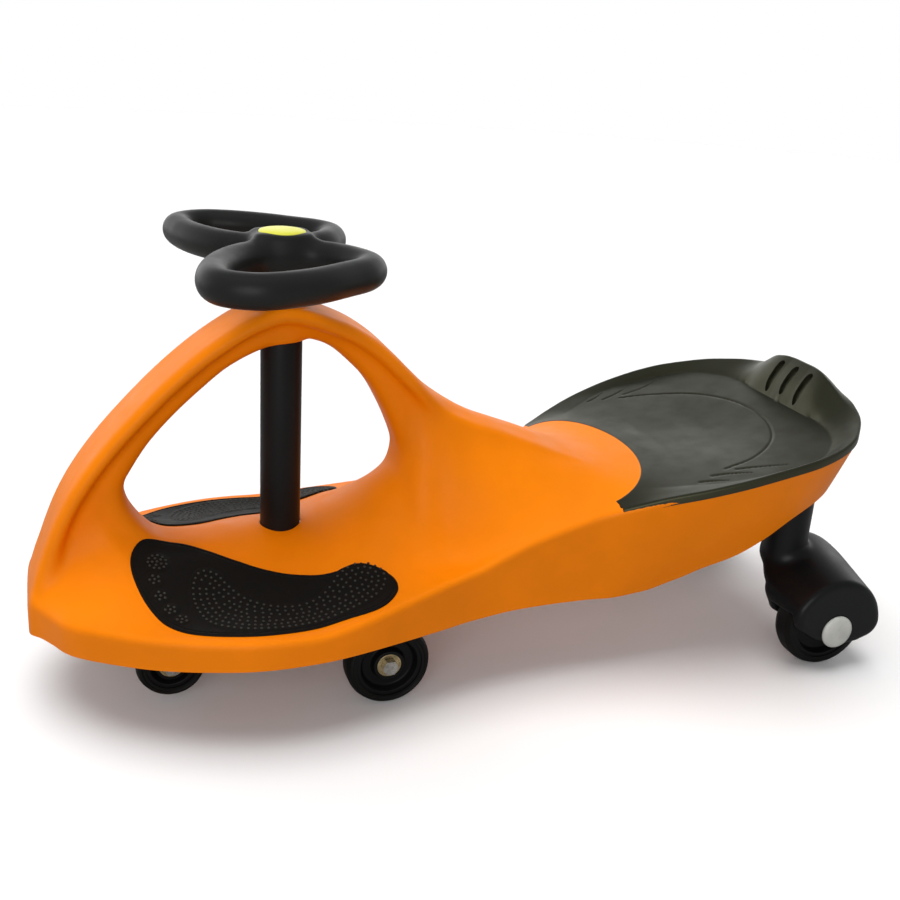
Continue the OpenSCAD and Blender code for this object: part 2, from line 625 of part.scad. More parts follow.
module axle_cap_left() color("gainsboro") {
    spigot = cap_recess_depth - bolt_head - seat_gap;
    along_y(rear_axle_x, rear_y + hood_half - spigot, rear_radius) difference() {
        cylinder(h = spigot + overrun, d = cap_recess_diameter);
        translate([0, 0, -overrun]) cylinder(h = spigot + overrun, d = bolt_width);
    }
    along_y(rear_axle_x, rear_y + hood_half, rear_radius) dome(axle_cap_diameter, axle_cap_thickness);
}

module axle_cap_right() mirror([0, 1, 0]) axle_cap_left();

// A low dome with a straight edge, flat below
module dome(diameter, height) {
    edge = height / 2;
    crown = height - edge;
    radius = (diameter * diameter / 4 + crown * crown) / (2 * crown);
    intersection() {
        cylinder(h = height, d = diameter);
        translate([0, 0, height - radius]) sphere(radius, $fn = 4 * hull_fn);
    }
}

// Steering
module ear(x, y, z, thickness, outward) {
    hull() {
        along_y(x, y - thickness / 2, z) cylinder(h = thickness, r = ear_radius, $fn = hull_fn);
        translate([x - ear_radius, y - thickness / 2, plate_bottom])
            cube([2 * ear_radius, thickness, plate_thickness]);
    }
    for (side = outward)
        along_y(x, side > 0 ? y : y - thickness / 2 - spigot_length, z)
            cylinder(h = thickness / 2 + spigot_length, d = axle_diameter + 2 * bearing_lip);
}

front_ear_y = front_y - front_hub_width / 2 - seat_gap - spigot_length - ear_thickness / 2;
nose_block_half = nose_y - front_hub_width / 2 - seat_gap - spigot_length;

module arm_blade(x, y, radius) hull() {
    translate([steering_x, 0, plate_bottom]) cylinder(h = plate_thickness, d = arm_hub_diameter, $fn = hull_fn);
    translate([x, y, plate_bottom]) cylinder(h = plate_thickness, r = radius, $fn = hull_fn);
}

module steering_arm() color(black) difference() {
    union() {
        translate([steering_x, 0, arm_bottom]) cylinder(h = arm_top - arm_bottom, d = arm_hub_diameter);
        for (side = [-1, 1]) {
            arm_blade(front_axle_x, side * front_ear_y, ear_radius);
            ear(front_axle_x, side * front_ear_y, front_radius, ear_thickness, [side]);
        }
        arm_blade(nose_axle_x, 0, ear_radius);
        ear(nose_axle_x, 0, nose_height, 2 * nose_block_half, [-1, 1]);
    }
    translate([steering_x, 0, 0]) cylinder(h = cap_top, d = shaft_diameter + 2 * run_gap);
    along_y(front_axle_x, -front_track, front_radius)
        cylinder(h = 2 * front_track, d = axle_diameter + 2 * run_gap);
    along_y(nose_axle_x, -front_track, nose_height)
        cylinder(h = 2 * front_track, d = axle_diameter + 2 * run_gap);
}

module steering_shaft() color(steel) translate([steering_x, 0, 0]) {
    translate([0, 0, arm_bottom - head_height]) hex(head_height, nut_width);
    translate([0, 0, arm_bottom - head_height])
        cylinder(h = nut_bottom + nut_height + nut_room - arm_bottom + head_height, d = shaft_diameter);
}

module steering_nut() color(steel) translate([steering_x, 0, nut_bottom]) difference() {
    hex(nut_height, nut_width);
    translate([0, 0, -overrun]) cylinder(h = nut_height + 2 * overrun, d = shaft_diameter + 2 * run_gap);
}

module ring(h, outer, inner) difference() {
    cylinder(h = h, d = outer);
    translate([0, 0, -overrun]) cylinder(h = h + 2 * overrun, d = inner);
}

module steering_washer() color(steel) translate([steering_x, 0, hub_bottom - washer_thickness])
    ring(washer_thickness, upper_boss_diameter - 2 * bush_flange, shaft_diameter + 2 * run_gap);

module thrust_washer() color("ivory") translate([steering_x, 0, arm_top])
    ring(washer_thickness, arm_hub_diameter, sleeve_diameter + 2 * run_gap);

module column_sleeve() color(black) translate([steering_x, 0, arm_top])
    ring(sleeve_top - arm_top, sleeve_diameter, sleeve_diameter - 2 * sleeve_wall);

// The handlebar: two closed loops of tube that share a hub
function loop_point(i) =
    let (n = len(loop_shares), p = loop_shares[(i % n + n) % n])
    [p[0] * loop_length, p[1] * loop_reach];
function loop_path(i, t) =
    let (a = loop_point(i - 1), b = loop_point(i), c = loop_point(i + 1), d = loop_point(i + 2))
    b + (c - a) * t / 2 + (2 * a - 5 * b + 4 * c - d) * t * t / 2 + (3 * b - a - 3 * c + d) * t * t * t / 2;
function loop_ring(i, t) =
    let (p = loop_path(i, t), ahead = loop_path(i, t + look_ahead_share), way = (ahead - p) / norm(ahead - p),
        r = grip_diameter / 2)
    [for (k = [0:loop_sides - 1]) let (a = 360 * k / loop_sides)
        [p[0] + way[1] * r * cos(a), p[1] - way[0] * r * cos(a), r * sin(a)]];

module handle_loop() skin([for (i = [0:len(loop_shares) - 1], t = [0:loop_steps - 1])
    loop_ring(i, t / loop_steps)], true);

module steering_wheel() color(black) translate([steering_x, 0, 0]) difference() {
    union() {
        translate([0, 0, loop_height]) resize([0, 0, 0]) {
            handle_loop();
            mirror([0, 1, 0]) handle_loop();
        }
        translate([0, 0, hub_bottom]) cylinder(h = hub_top - hub_bottom, d = hub_diameter);
    }
    cylinder(h = cap_top, d = shaft_diameter + 2 * run_gap);
    translate([0, 0, nut_bottom]) cylinder(h = recess_depth + overrun, d = cap_diameter - 2 * hub_rim);
}

module hub_cap() color("gold") translate([steering_x, 0, hub_top]) dome(cap_diameter, cap_height);

// Front and nose axles
module front_axle(side) {
    inner = front_ear_y - ear_thickness / 2;
    outer = front_y + front_hub_width / 2;
    mirror([0, side < 0 ? 1 : 0, 0]) {
        along_y(front_axle_x, inner - bolt_head, front_radius) hex(bolt_head, bolt_width);
        along_y(front_axle_x, inner - bolt_head, front_radius)
            cylinder(h = outer - inner + 2 * bolt_head + seat_gap, d = axle_diameter);
    }
}

module front_axle_left() color(steel) front_axle(1);
module front_axle_right() color(steel) front_axle(-1);

module axle_nut() difference() {
    hex(bolt_head, bolt_width);
    translate([0, 0, -overrun]) cylinder(h = bolt_head + 2 * overrun, d = axle_diameter + 2 * run_gap);
}

module front_axle_nuts() color(steel) for (side = [0, 1]) mirror([0, side, 0])
    along_y(front_axle_x, front_y + front_hub_width / 2 + seat_gap, front_radius) axle_nut();

module nose_axle() color(steel) {
    end = nose_y + front_hub_width / 2 + seat_gap;
    along_y(nose_axle_x, -end - bolt_head, nose_height) hex(bolt_head, bolt_width);
    along_y(nose_axle_x, -end - bolt_head, nose_height)
        cylinder(h = 2 * end + 2 * bolt_head, d = axle_diameter);
}

module nose_axle_nut() color(steel)
    along_y(nose_axle_x, nose_y + front_hub_width / 2 + seat_gap, nose_height) axle_nut();

// Wheels: a tyre on a hub with a bearing in each face
module tyre(diameter, width) {
    corner = tyre_thickness / 2;
    outer = diameter / 2;
    inner = outer - tyre_thickness + run_gap;
    rotate([90, 0, 0]) rotate_extrude() {
        translate([inner, -width / 2]) square([tyre_thickness - run_gap - corner, width]);
        translate([inner, -width / 2 + corner]) square([tyre_thickness - run_gap, width - 2 * corner]);
        for (e = [-1, 1]) translate([outer - corner, e * (width / 2 - corner)]) circle(corner);
    }
}

module wheel_hub(diameter, width) {
    rim = diameter / 2 - tyre_thickness;
    boss = bearing_diameter / 2 + bearing_lip;
    web = width * dish_share;
    rotate([90, 0, 0]) difference() {
        union() {
            translate([0, 0, -width / 2]) cylinder(h = width, r = boss);
            translate([0, 0, -web / 2]) cylinder(h = web, r = rim);
            translate([0, 0, -width / 2]) ring(width, 2 * rim, 2 * (rim - bearing_lip));
        }
        translate([0, 0, -width]) cylinder(h = 2 * width, d = bearing_diameter - 2 * bearing_lip);
        for (e = [0, 1]) mirror([0, 0, e])
            translate([0, 0, width / 2 - bearing_width])
                cylinder(h = width, d = bearing_diameter + 2 * run_gap);
    }
}

module bearings(width) rotate([90, 0, 0]) for (e = [0, 1]) mirror([0, 0, e])
    translate([0, 0, width / 2 - bearing_width]) ring(bearing_width, bearing_diameter, axle_diameter + 2 * run_gap);

module front_place(side) translate([front_axle_x, side * front_y, front_radius]) children();
module nose_place(side) translate([nose_axle_x, side * nose_y, nose_height]) children();
module rear_place(side) translate([rear_axle_x, side * rear_y, rear_radius]) children();

module front_tyre_left() color(black) front_place(1) tyre(front_diameter, front_width);
module front_hub_left() color(black) front_place(1) wheel_hub(front_diameter, front_hub_width);
module front_bearings_left() color(steel) front_place(1) bearings(front_hub_width);
module front_tyre_right() color(black) front_place(-1) tyre(front_diameter, front_width);
module front_hub_right() color(black) front_place(-1) wheel_hub(front_diameter, front_hub_width);
module front_bearings_right() color(steel) front_place(-1) bearings(front_hub_width);
module nose_tyre_left() color(black) nose_place(1) tyre(nose_diameter, front_width);
module nose_hub_left() color(black) nose_place(1) wheel_hub(nose_diameter, front_hub_width);
module nose_bearings_left() color(steel) nose_place(1) bearings(front_hub_width);
module nose_tyre_right() color(black) nose_place(-1) tyre(nose_diameter, front_width);
module nose_hub_right() color(black) nose_place(-1) wheel_hub(nose_diameter, front_hub_width);
module nose_bearings_right() color(steel) nose_place(-1) bearings(front_hub_width);
module rear_tyre_left() color(black) rear_place(1) tyre(rear_diameter, rear_width);
module rear_hub_left() color(black) rear_place(1) wheel_hub(rear_diameter, rear_hub_width);
module rear_bearings_left() color(steel) rear_place(1) bearings(rear_hub_width);
module rear_tyre_right() color(black) rear_place(-1) tyre(rear_diameter, rear_width);
module rear_hub_right() color(black) rear_place(-1) wheel_hub(rear_diameter, rear_hub_width);
module rear_bearings_right() color(steel) rear_place(-1) bearings(rear_hub_width);

body_shell();
seat();
seat_screws();
foot_pad_left();
foot_pad_right();
upper_bush();
lower_bush();
rear_leg_left();
rear_leg_right();
rear_leg_screws();
rear_axle_left();
rear_axle_right();
rear_axle_nuts();
axle_cap_left();
axle_cap_right();
steering_arm();
steering_shaft();
steering_nut();
steering_washer();
thrust_washer();
column_sleeve();
steering_wheel();
hub_cap();
front_axle_left();
front_axle_right();
front_axle_nuts();
nose_axle();
nose_axle_nut();
front_tyre_left();
front_hub_left();
front_bearings_left();
front_tyre_right();
front_hub_right();
front_bearings_right();
nose_tyre_left();
nose_hub_left();
nose_bearings_left();
nose_tyre_right();
nose_hub_right();
nose_bearings_right();
rear_tyre_left();
rear_hub_left();
rear_bearings_left();
rear_tyre_right();
rear_hub_right();
rear_bearings_right();
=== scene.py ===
import math

import bpy
import numpy as np
from mathutils import Matrix


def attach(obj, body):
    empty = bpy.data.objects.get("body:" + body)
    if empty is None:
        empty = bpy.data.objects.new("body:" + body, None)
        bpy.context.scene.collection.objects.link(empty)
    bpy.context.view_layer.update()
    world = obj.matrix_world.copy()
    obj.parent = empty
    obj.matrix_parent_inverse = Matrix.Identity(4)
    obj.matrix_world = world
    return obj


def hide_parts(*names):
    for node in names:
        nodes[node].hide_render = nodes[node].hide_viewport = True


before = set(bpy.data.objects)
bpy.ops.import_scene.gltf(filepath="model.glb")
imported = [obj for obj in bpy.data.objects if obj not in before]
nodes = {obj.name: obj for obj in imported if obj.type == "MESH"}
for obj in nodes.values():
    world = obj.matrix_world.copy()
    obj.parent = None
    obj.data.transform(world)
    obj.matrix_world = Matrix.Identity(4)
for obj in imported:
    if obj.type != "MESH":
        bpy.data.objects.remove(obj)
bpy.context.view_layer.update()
coarse = 1.0

# Lengths and places are in millimetres, in the CAD's frame: x forward, y to the left, z up
STEER_X = 171.696
SIDES = ((1, "left"), (-1, "right"))


# Curves and distances

def tangents(xs, ys):
    """Slopes at a curve's points, level where it turns back."""
    slopes = np.diff(ys) / np.diff(xs)
    out = np.zeros(len(xs))
    out[0], out[-1] = slopes[0], slopes[-1]
    a, b = slopes[:-1], slopes[1:]
    rising = a * b > 0
    out[1:-1][rising] = 2 * a[rising] * b[rising] / (a[rising] + b[rising])
    return out


def curve(table, x):
    """A smooth curve through the table's points that doesn't overshoot them."""
    t = np.array(sorted(table), float)
    xs, ys = t[:, 0], t[:, 1]
    m = tangents(xs, ys)
    x = np.clip(x, xs[0], xs[-1])
    i = np.clip(np.searchsorted(xs, x) - 1, 0, len(xs) - 2)
    w = xs[i + 1] - xs[i]
    u = (x - xs[i]) / w
    return (ys[i] * (1 - 3 * u * u + 2 * u ** 3) + ys[i + 1] * (3 * u * u - 2 * u ** 3)
            + w * m[i] * u * (1 - u) ** 2 - w * m[i + 1] * u * u * (1 - u))


def spline(points, step=3.0, closed=False):
    """Points about a step apart on a smooth curve through all the given ones."""
    p = np.array(points, float)
    n = len(p)
    if closed:
        q = np.vstack([p[-1:], p, p[:2]])
    else:
        q = np.vstack([2 * p[0] - p[1], p, 2 * p[-1] - p[-2]])
    out = []
    for i in range(n if closed else n - 1):
        a, b, c, d = q[i:i + 4]
        k = max(2, int(np.linalg.norm(c - b) / step) + 1)
        t = (np.arange(k) / k)[:, None]
        out.append(b + (c - a) * t / 2 + (2 * a - 5 * b + 4 * c - d) * t * t / 2
                   + (3 * b - a - 3 * c + d) * t ** 3 / 2)
    if not closed:
        out.append(p[-1:])
    return np.vstack(out)


def distance(outline, p, q, closed=True):
    """Distance to an outline, negative inside a closed one."""
    ends = np.roll(outline, -1, 0)
    pairs = list(zip(outline, ends))
    if not closed:
        pairs = pairs[:-1]
    best = np.full(p.shape, 1e9)
    inside = np.zeros(p.shape, bool)
    for (ax, ay), (bx, by) in pairs:
        ex, ey = bx - ax, by - ay
        length = ex * ex + ey * ey
        if length < 1e-12:
            continue
        t = np.clip(((p - ax) * ex + (q - ay) * ey) / length, 0, 1)
        best = np.minimum(best, (p - ax - t * ex) ** 2 + (q - ay - t * ey) ** 2)
        if closed and ay != by:
            inside ^= ((ay > q) != (by > q)) & (p < (bx - ax) * (q - ay) / (by - ay) + ax)
    return np.where(inside, -1, 1) * np.sqrt(best)


def smax(a, b, k):
    """The larger of two distances, rounded off where they differ by less than k."""
    h = np.maximum(k - np.abs(a - b), 0) / k
    return np.maximum(a, b) + h * h * k / 4


def smin(a, b, k):
    return -smax(-a, -b, k)


def ease(t):
    """A soft step from 0 to 1."""
    t = np.clip(t, 0, 1)
    return t * t * (3 - 2 * t)


class Chart:
    """A function of two lengths, kept on a 1 mm grid."""

    def __init__(self, lo, hi, make):
        self.lo = np.array(lo, float)
        a = np.arange(lo[0], hi[0] + 0.5)
        b = np.arange(lo[1], hi[1] + 0.5)
        p, q = np.meshgrid(a, b, indexing="ij")
        self.g = make(p, q)

    def __call__(self, a, b):
        n, m = self.g.shape
        fa = np.clip(a - self.lo[0], 0, n - 1.001)
        fb = np.clip(b - self.lo[1], 0, m - 1.001)
        i, j = fa.astype(int), fb.astype(int)
        u, v = fa - i, fb - j
        g = self.g
        near = g[i, j] * (1 - u) + g[i + 1, j] * u
        far = g[i, j + 1] * (1 - u) + g[i + 1, j + 1] * u
        return near * (1 - v) + far * v


# Surfaces from a function that is negative inside

ROUGH = 4  # a first pass looks at every fourth grid point
BATCH = 400000  # grid points worked out at a time


def nets(values, origin, h):
    """Points and quads of the surface through a grid of values, one point in each crossed cell."""
    inside = values < 0
    nx, ny, nz = values.shape
    count = np.zeros((nx - 1, ny - 1, nz - 1), int)
    corners = [(i, j, k) for i in (0, 1) for j in (0, 1) for k in (0, 1)]
    for i, j, k in corners:
        count += inside[i:nx - 1 + i, j:ny - 1 + j, k:nz - 1 + k]
    active = (count > 0) & (count < 8)
    index = -np.ones(active.shape, int)
    index[active] = np.arange(active.sum())
    cells = np.argwhere(active)
    total = np.zeros(cells.shape)
    hits = np.zeros(len(cells))
    for a in range(8):
        for b in range(a + 1, 8):
            ca, cb = np.array(corners[a]), np.array(corners[b])
            if np.abs(ca - cb).sum() != 1:
                continue
            fa, fb = values[tuple((cells + ca).T)], values[tuple((cells + cb).T)]
            m = (fa < 0) != (fb < 0)
            t = fa[m] / (fa[m] - fb[m])
            total[m] += ca + t[:, None] * (cb - ca)
            hits[m] += 1
    points = origin + h * (cells + total / hits[:, None])
    quads = []
    for axis in range(3):
        o = [d for d in range(3) if d != axis]
        low, high = [slice(None)] * 3, [slice(None)] * 3
        low[axis], high[axis] = slice(0, -1), slice(1, None)
        s0, s1 = inside[tuple(low)], inside[tuple(high)]
        crossed = s0 != s1
        p = np.argwhere(crossed)
        flip = s0[crossed]
        keep = ((p[:, o[0]] > 0) & (p[:, o[1]] > 0)
                & (p[:, o[0]] < values.shape[o[0]] - 1) & (p[:, o[1]] < values.shape[o[1]] - 1))
        p, flip = p[keep], flip[keep]
        e0, e1 = np.zeros(3, int), np.zeros(3, int)
        e0[o[0]], e1[o[1]] = 1, 1
        q = np.stack([index[tuple((p - e0 - e1).T)], index[tuple((p - e1).T)],
                      index[tuple(p.T)], index[tuple((p - e0).T)]], 1)
        if axis == 1:
            flip = ~flip
        q[~flip] = q[~flip][:, ::-1]
        quads.append(q)
    return points, np.vstack(quads)


def gradient(f, p, e=0.4):
    """The direction in which f grows, from its values e to each side."""
    out = []
    for i in range(3):
        d = np.zeros(3)
        d[i] = e
        a, b = p + d, p - d
        out.append((f(a[:, 0], a[:, 1], a[:, 2]) - f(b[:, 0], b[:, 1], b[:, 2])) / (2 * e))
    return np.stack(out, 1)


def surface(f, lo, hi, h, rounds=3):
    """Points, quads and outward normals of the surface where f is zero."""
    lo, hi = np.array(lo, float), np.array(hi, float)
    n = np.ceil((hi - lo) / h / ROUGH).astype(int) * ROUGH + 1
    axes = [lo[i] + h * np.arange(n[i]) for i in range(3)]
    rough = f(*np.meshgrid(*[a[::ROUGH] for a in axes], indexing="ij"))
    near = [(np.arange(k) + ROUGH // 2) // ROUGH for k in n]
    values = rough[np.ix_(*near)]
    at = np.argwhere(np.abs(values) < 1.5 * ROUGH * h)
    for start in range(0, len(at), BATCH):
        part = at[start:start + BATCH]
        p = lo + h * part
        values[tuple(part.T)] = f(p[:, 0], p[:, 1], p[:, 2])
    points, quads = nets(values, lo, h)
    for _ in range(rounds):
        g = gradient(f, points)
        away = f(points[:, 0], points[:, 1], points[:, 2])
        step = -(away / np.maximum((g * g).sum(1), 0.05))[:, None] * g
        length = np.linalg.norm(step, axis=1, keepdims=True)
        points = points + step * np.minimum(1, h / np.maximum(length, 1e-9))
    g = gradient(f, points)
    return points, quads, g / np.maximum(np.linalg.norm(g, axis=1, keepdims=True), 1e-9)


def triangles(quads):
    return np.vstack([quads[:, [0, 1, 2]], quads[:, [0, 2, 3]]])


def split(points, tris, g):
    """Cuts triangles along g = 0: the points, and the triangles above and below."""
    g = np.where(np.abs(g) < 1e-6, 1e-6, g)
    up = g > 0
    n = up[tris].sum(1)
    mixed = tris[(n > 0) & (n < 3)]
    side = up[mixed]
    odd = np.where(side.sum(1) == 1, side.argmax(1), (~side).argmax(1))
    row = np.arange(len(mixed))
    a, b, c = (mixed[row, (odd + k) % 3] for k in range(3))
    ends = np.sort(np.vstack([np.stack([a, b], 1), np.stack([a, c], 1)]), 1)
    pairs, inverse = np.unique(ends, axis=0, return_inverse=True)
    inverse = inverse.ravel()
    t = g[pairs[:, 0]] / (g[pairs[:, 0]] - g[pairs[:, 1]])
    new = points[pairs[:, 0]] + t[:, None] * (points[pairs[:, 1]] - points[pairs[:, 0]])
    ab, ac = len(points) + inverse[:len(a)], len(points) + inverse[len(a):]
    tip = np.stack([a, ab, ac], 1)
    rest = np.vstack([np.stack([ab, b, c], 1), np.stack([ab, c, ac], 1)])
    first = up[a]
    above = np.vstack([tris[n == 3], tip[first], rest[np.tile(~first, 2)]])
    below = np.vstack([tris[n == 0], tip[~first], rest[np.tile(first, 2)]])
    return np.vstack([points, new]), above, below


def borders(tris):
    """The directed edges that only one triangle uses."""
    e = np.vstack([tris[:, [0, 1]], tris[:, [1, 2]], tris[:, [2, 0]]])
    key = np.sort(e, 1)
    _, inverse, count = np.unique(key, axis=0, return_inverse=True, return_counts=True)
    return e[count[inverse.ravel()] == 1]


def wall(edges, n):
    """Triangles between edges and the same edges n points later."""
    a, b = edges[:, 0], edges[:, 1]
    return np.vstack([np.stack([a, b, b + n], 1), np.stack([a, b + n, a + n], 1)])


def thicken(points, tris, under):
    """A closed shell from a sheet and the same points on its other side."""
    n = len(points)
    edge = wall(borders(tris)[:, ::-1], n)
    return np.vstack([points, under]), np.vstack([tris, tris[:, ::-1] + n, edge])


def sink(points, tris, g, lower):
    """Moves the part of a sheet where g is negative to lower(points), and walls the step."""
    points, above, below = split(points, tris, g)
    n = len(points)
    e = borders(below)
    edge = np.zeros(n, bool)
    edge[np.intersect1d(above, below)] = True
    e = e[edge[e].all(1)]
    return np.vstack([points, lower(points)]), np.vstack([above, below + n, wall(e, n)])


def field_sheet(outline, z, step, rings, margin=2.0):
    """A sheet inside an outline, at the height that z gives, with rings of points at its edge."""
    lo, hi = outline.min(0) - margin, outline.max(0) + margin
    nx, ny = np.ceil((hi - lo) / step).astype(int) + 1
    x, y = np.meshgrid(lo[0] + step * np.arange(nx), lo[1] + step * np.arange(ny), indexing="ij")
    p = np.stack([x.ravel(), y.ravel()], 1)
    i = np.arange(nx * ny).reshape(nx, ny)
    corners = (i[:-1, :-1], i[1:, :-1], i[1:, 1:], i[:-1, 1:])
    q = np.stack([c.ravel() for c in corners], 1)
    p, _, tris = split(p, triangles(q), distance(outline, p[:, 0], p[:, 1]))
    for inward in rings:
        p, above, below = split(p, tris, distance(outline, p[:, 0], p[:, 1]) + inward)
        tris = np.vstack([above, below])
    used, back = np.unique(tris, return_inverse=True)
    p = p[used]
    return np.column_stack([p, z(p[:, 0], p[:, 1])]), back.reshape(-1, 3)


# Blender objects

def mesh(name, points, faces, material, body, stands_for=(), angle=40):
    """A smooth piece with sharp edges above the angle, which rides a body and stands for nodes."""
    faces = [np.asarray(f) for f in (faces if isinstance(faces, list) else [faces])]
    used, back = np.unique(np.concatenate([f.ravel() for f in faces]), return_inverse=True)
    points = np.asarray(points, float)[used] / 1000
    data = bpy.data.meshes.new(name)
    data.vertices.add(len(points))
    data.vertices.foreach_set("co", points.astype(np.float32).ravel())
    data.loops.add(len(back))
    data.loops.foreach_set("vertex_index", back.astype(np.int32))
    sizes = np.concatenate([np.full(len(f), f.shape[1]) for f in faces])
    starts = np.concatenate([[0], np.cumsum(sizes)[:-1]])
    data.polygons.add(len(sizes))
    data.polygons.foreach_set("loop_start", starts.astype(np.int32))
    data.update(calc_edges=True)
    data.validate()
    data.shade_smooth()
    data.set_sharp_from_angle(angle=math.radians(angle))
    data.materials.append(material)
    obj = bpy.data.objects.new(name, data)
    bpy.context.scene.collection.objects.link(obj)
    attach(obj, body)
    if stands_for:
        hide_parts(*stands_for)


def lathe(profile, segments=96, closed=True):
    """A ring of (radius, height) points turned about +Z."""
    p = np.array(profile, float)
    a = 2 * math.pi * np.arange(segments) / segments
    points = np.stack([p[None, :, 0] * np.cos(a)[:, None], p[None, :, 0] * np.sin(a)[:, None],
                       np.repeat(p[None, :, 1], segments, 0)], 2).reshape(-1, 3)
    n = len(p)
    i = np.arange(segments)[:, None]
    j = np.arange(n if closed else n - 1)[None, :]
    k, l = (i + 1) % segments, (j + 1) % n
    quads = np.stack([i * n + j, k * n + j, k * n + l, i * n + l], 2).reshape(-1, 4)
    axis = p[:, 0] < 1e-6
    first = np.where(axis[quads % n], quads % n, quads)
    low, high = axis[quads[:, 0] % n], axis[quads[:, 3] % n]
    fans = np.vstack([first[low & ~high][:, [0, 2, 3]], first[high & ~low][:, [0, 1, 2]]])
    quads = first[~low & ~high]
    return points, [quads, fans] if len(fans) else [quads]


def rounded(profile, turns=4):
    """A (radius, height) outline whose corners, given as (r, z, fillet), are rounded."""
    out = []
    n = len(profile)
    for i in range(n):
        p = np.array(profile[i][:2], float)
        fillet = profile[i][2] if len(profile[i]) > 2 else 0
        if not fillet:
            out.append(p)
            continue
        a = np.array(profile[i - 1][:2], float) - p
        b = np.array(profile[(i + 1) % n][:2], float) - p
        la, lb = np.linalg.norm(a), np.linalg.norm(b)
        a, b = a / la, b / lb
        half = math.acos(max(-1, min(1, float(a @ b)))) / 2
        cut = min(fillet / math.tan(half), la * 0.49, lb * 0.49)
        s, e = p + a * cut, p + b * cut
        for t in np.linspace(0, 1, turns + 1):
            out.append((1 - t) ** 2 * s + 2 * t * (1 - t) * p + t * t * e)
    return out


def along_y(points, x, y, z, side):
    """Turns a lathe's +Z to point outward along Y, to the left for side 1."""
    return np.stack([x + side * points[:, 0], y + side * points[:, 2], z + points[:, 1]], 1)


# Materials

NOISE_LOW, NOISE_HIGH, NOISE_ROUGH = 0.3, 0.7, 0.55  # a noise's usual range, and its roughness
CLOUDS, BRUSHED = 160.0, 420.0  # scales of a metal's colour and of its brushed skin
WARM = (1, 1, 0.6, 1)


def srgb(*colour):
    """A colour of 0 to 255 as Blender's linear one."""
    return tuple(((c / 255 + 0.055) / 1.055) ** 2.4 if c > 10 else c / 255 / 12.92
                 for c in colour) + (1,)


def shade(colour, k):
    return srgb(*[min(255, c * k) for c in colour])


def plug(tree, node, sockets):
    """Links each socket to another node's output, or sets it to a number or colour."""
    for key, value in sockets.items():
        if hasattr(value, "links"):
            tree.links.new(value, node.inputs[key])
        else:
            node.inputs[key].default_value = value
    return node


class Look:
    """A node material whose colour, roughness and relief come from the object's own coordinates."""

    def __init__(self, name):
        self.material = bpy.data.materials.new(name)
        self.material.use_nodes = True
        self.tree = self.material.node_tree
        self.tree.nodes.clear()
        out = self.tree.nodes.new("ShaderNodeOutputMaterial")
        self.shader = self.tree.nodes.new("ShaderNodeBsdfPrincipled")
        self.tree.links.new(self.shader.outputs["BSDF"], out.inputs["Surface"])
        self.place = self.tree.nodes.new("ShaderNodeTexCoord").outputs["Object"]

    def node(self, kind, **sockets):
        return plug(self.tree, self.tree.nodes.new(kind), sockets)

    def noise(self, scale, detail):
        return self.node("ShaderNodeTexNoise", Vector=self.place, Scale=scale, Detail=detail,
                         Roughness=NOISE_ROUGH).outputs["Fac"]

    def ramp(self, fac, stops):
        """A colour between two stops."""
        n = self.node("ShaderNodeValToRGB", Fac=fac)
        for element, (at, colour) in zip(n.color_ramp.elements, stops):
            element.position, element.color = at, colour
        return n.outputs["Color"]

    def span(self, fac, low, high):
        """A number from low to high over a noise's usual range."""
        ends = {"From Min": NOISE_LOW, "From Max": NOISE_HIGH, "To Min": low, "To Max": high}
        return self.node("ShaderNodeMapRange", Value=fac, **ends).outputs["Result"]

    def set(self, **sockets):
        plug(self.tree, self.shader, sockets)

    def relief(self, height, depth):
        n = self.node("ShaderNodeBump", Height=height, Distance=depth, Strength=1.0)
        self.set(Normal=n.outputs["Normal"])


def moulded(name, colour, spread, rough, grain, depth, specular=0.5, patches=14.0,
            tint=(1, 1, 1, 1)):
    """Moulded plastic: a soft drift of colour and gloss and a fine skin.

    spread is the colour's drift as a share of it, patches and grain are the scales of the drift
    and of the skin, and depth is the skin's relief in metres.
    """
    look = Look(name)
    stops = [(NOISE_LOW, shade(colour, 1 - spread)), (NOISE_HIGH, shade(colour, 1 + spread))]
    look.set(**{"Base Color": look.ramp(look.noise(patches, 4.0), stops),
                "Roughness": look.span(look.noise(patches * 3.1, 5.0), rough - 0.06, rough + 0.06),
                "Specular IOR Level": specular, "Specular Tint": tint})
    look.relief(look.noise(grain, 2.0), depth)
    return look.material


def metal(name, colour, rough):
    """Plated metal: a cloudy colour and a fine brushed skin."""
    look = Look(name)
    stops = [(0.32, shade(colour, 0.82)), (0.62, shade(colour, 1.06))]
    look.set(**{"Base Color": look.ramp(look.noise(CLOUDS, 5.0), stops), "Metallic": 1.0,
                "Roughness": look.span(look.noise(BRUSHED, 4.0), rough - 0.08, rough + 0.12)})
    look.relief(look.noise(BRUSHED * 2, 3.0), 0.00006)
    return look.material


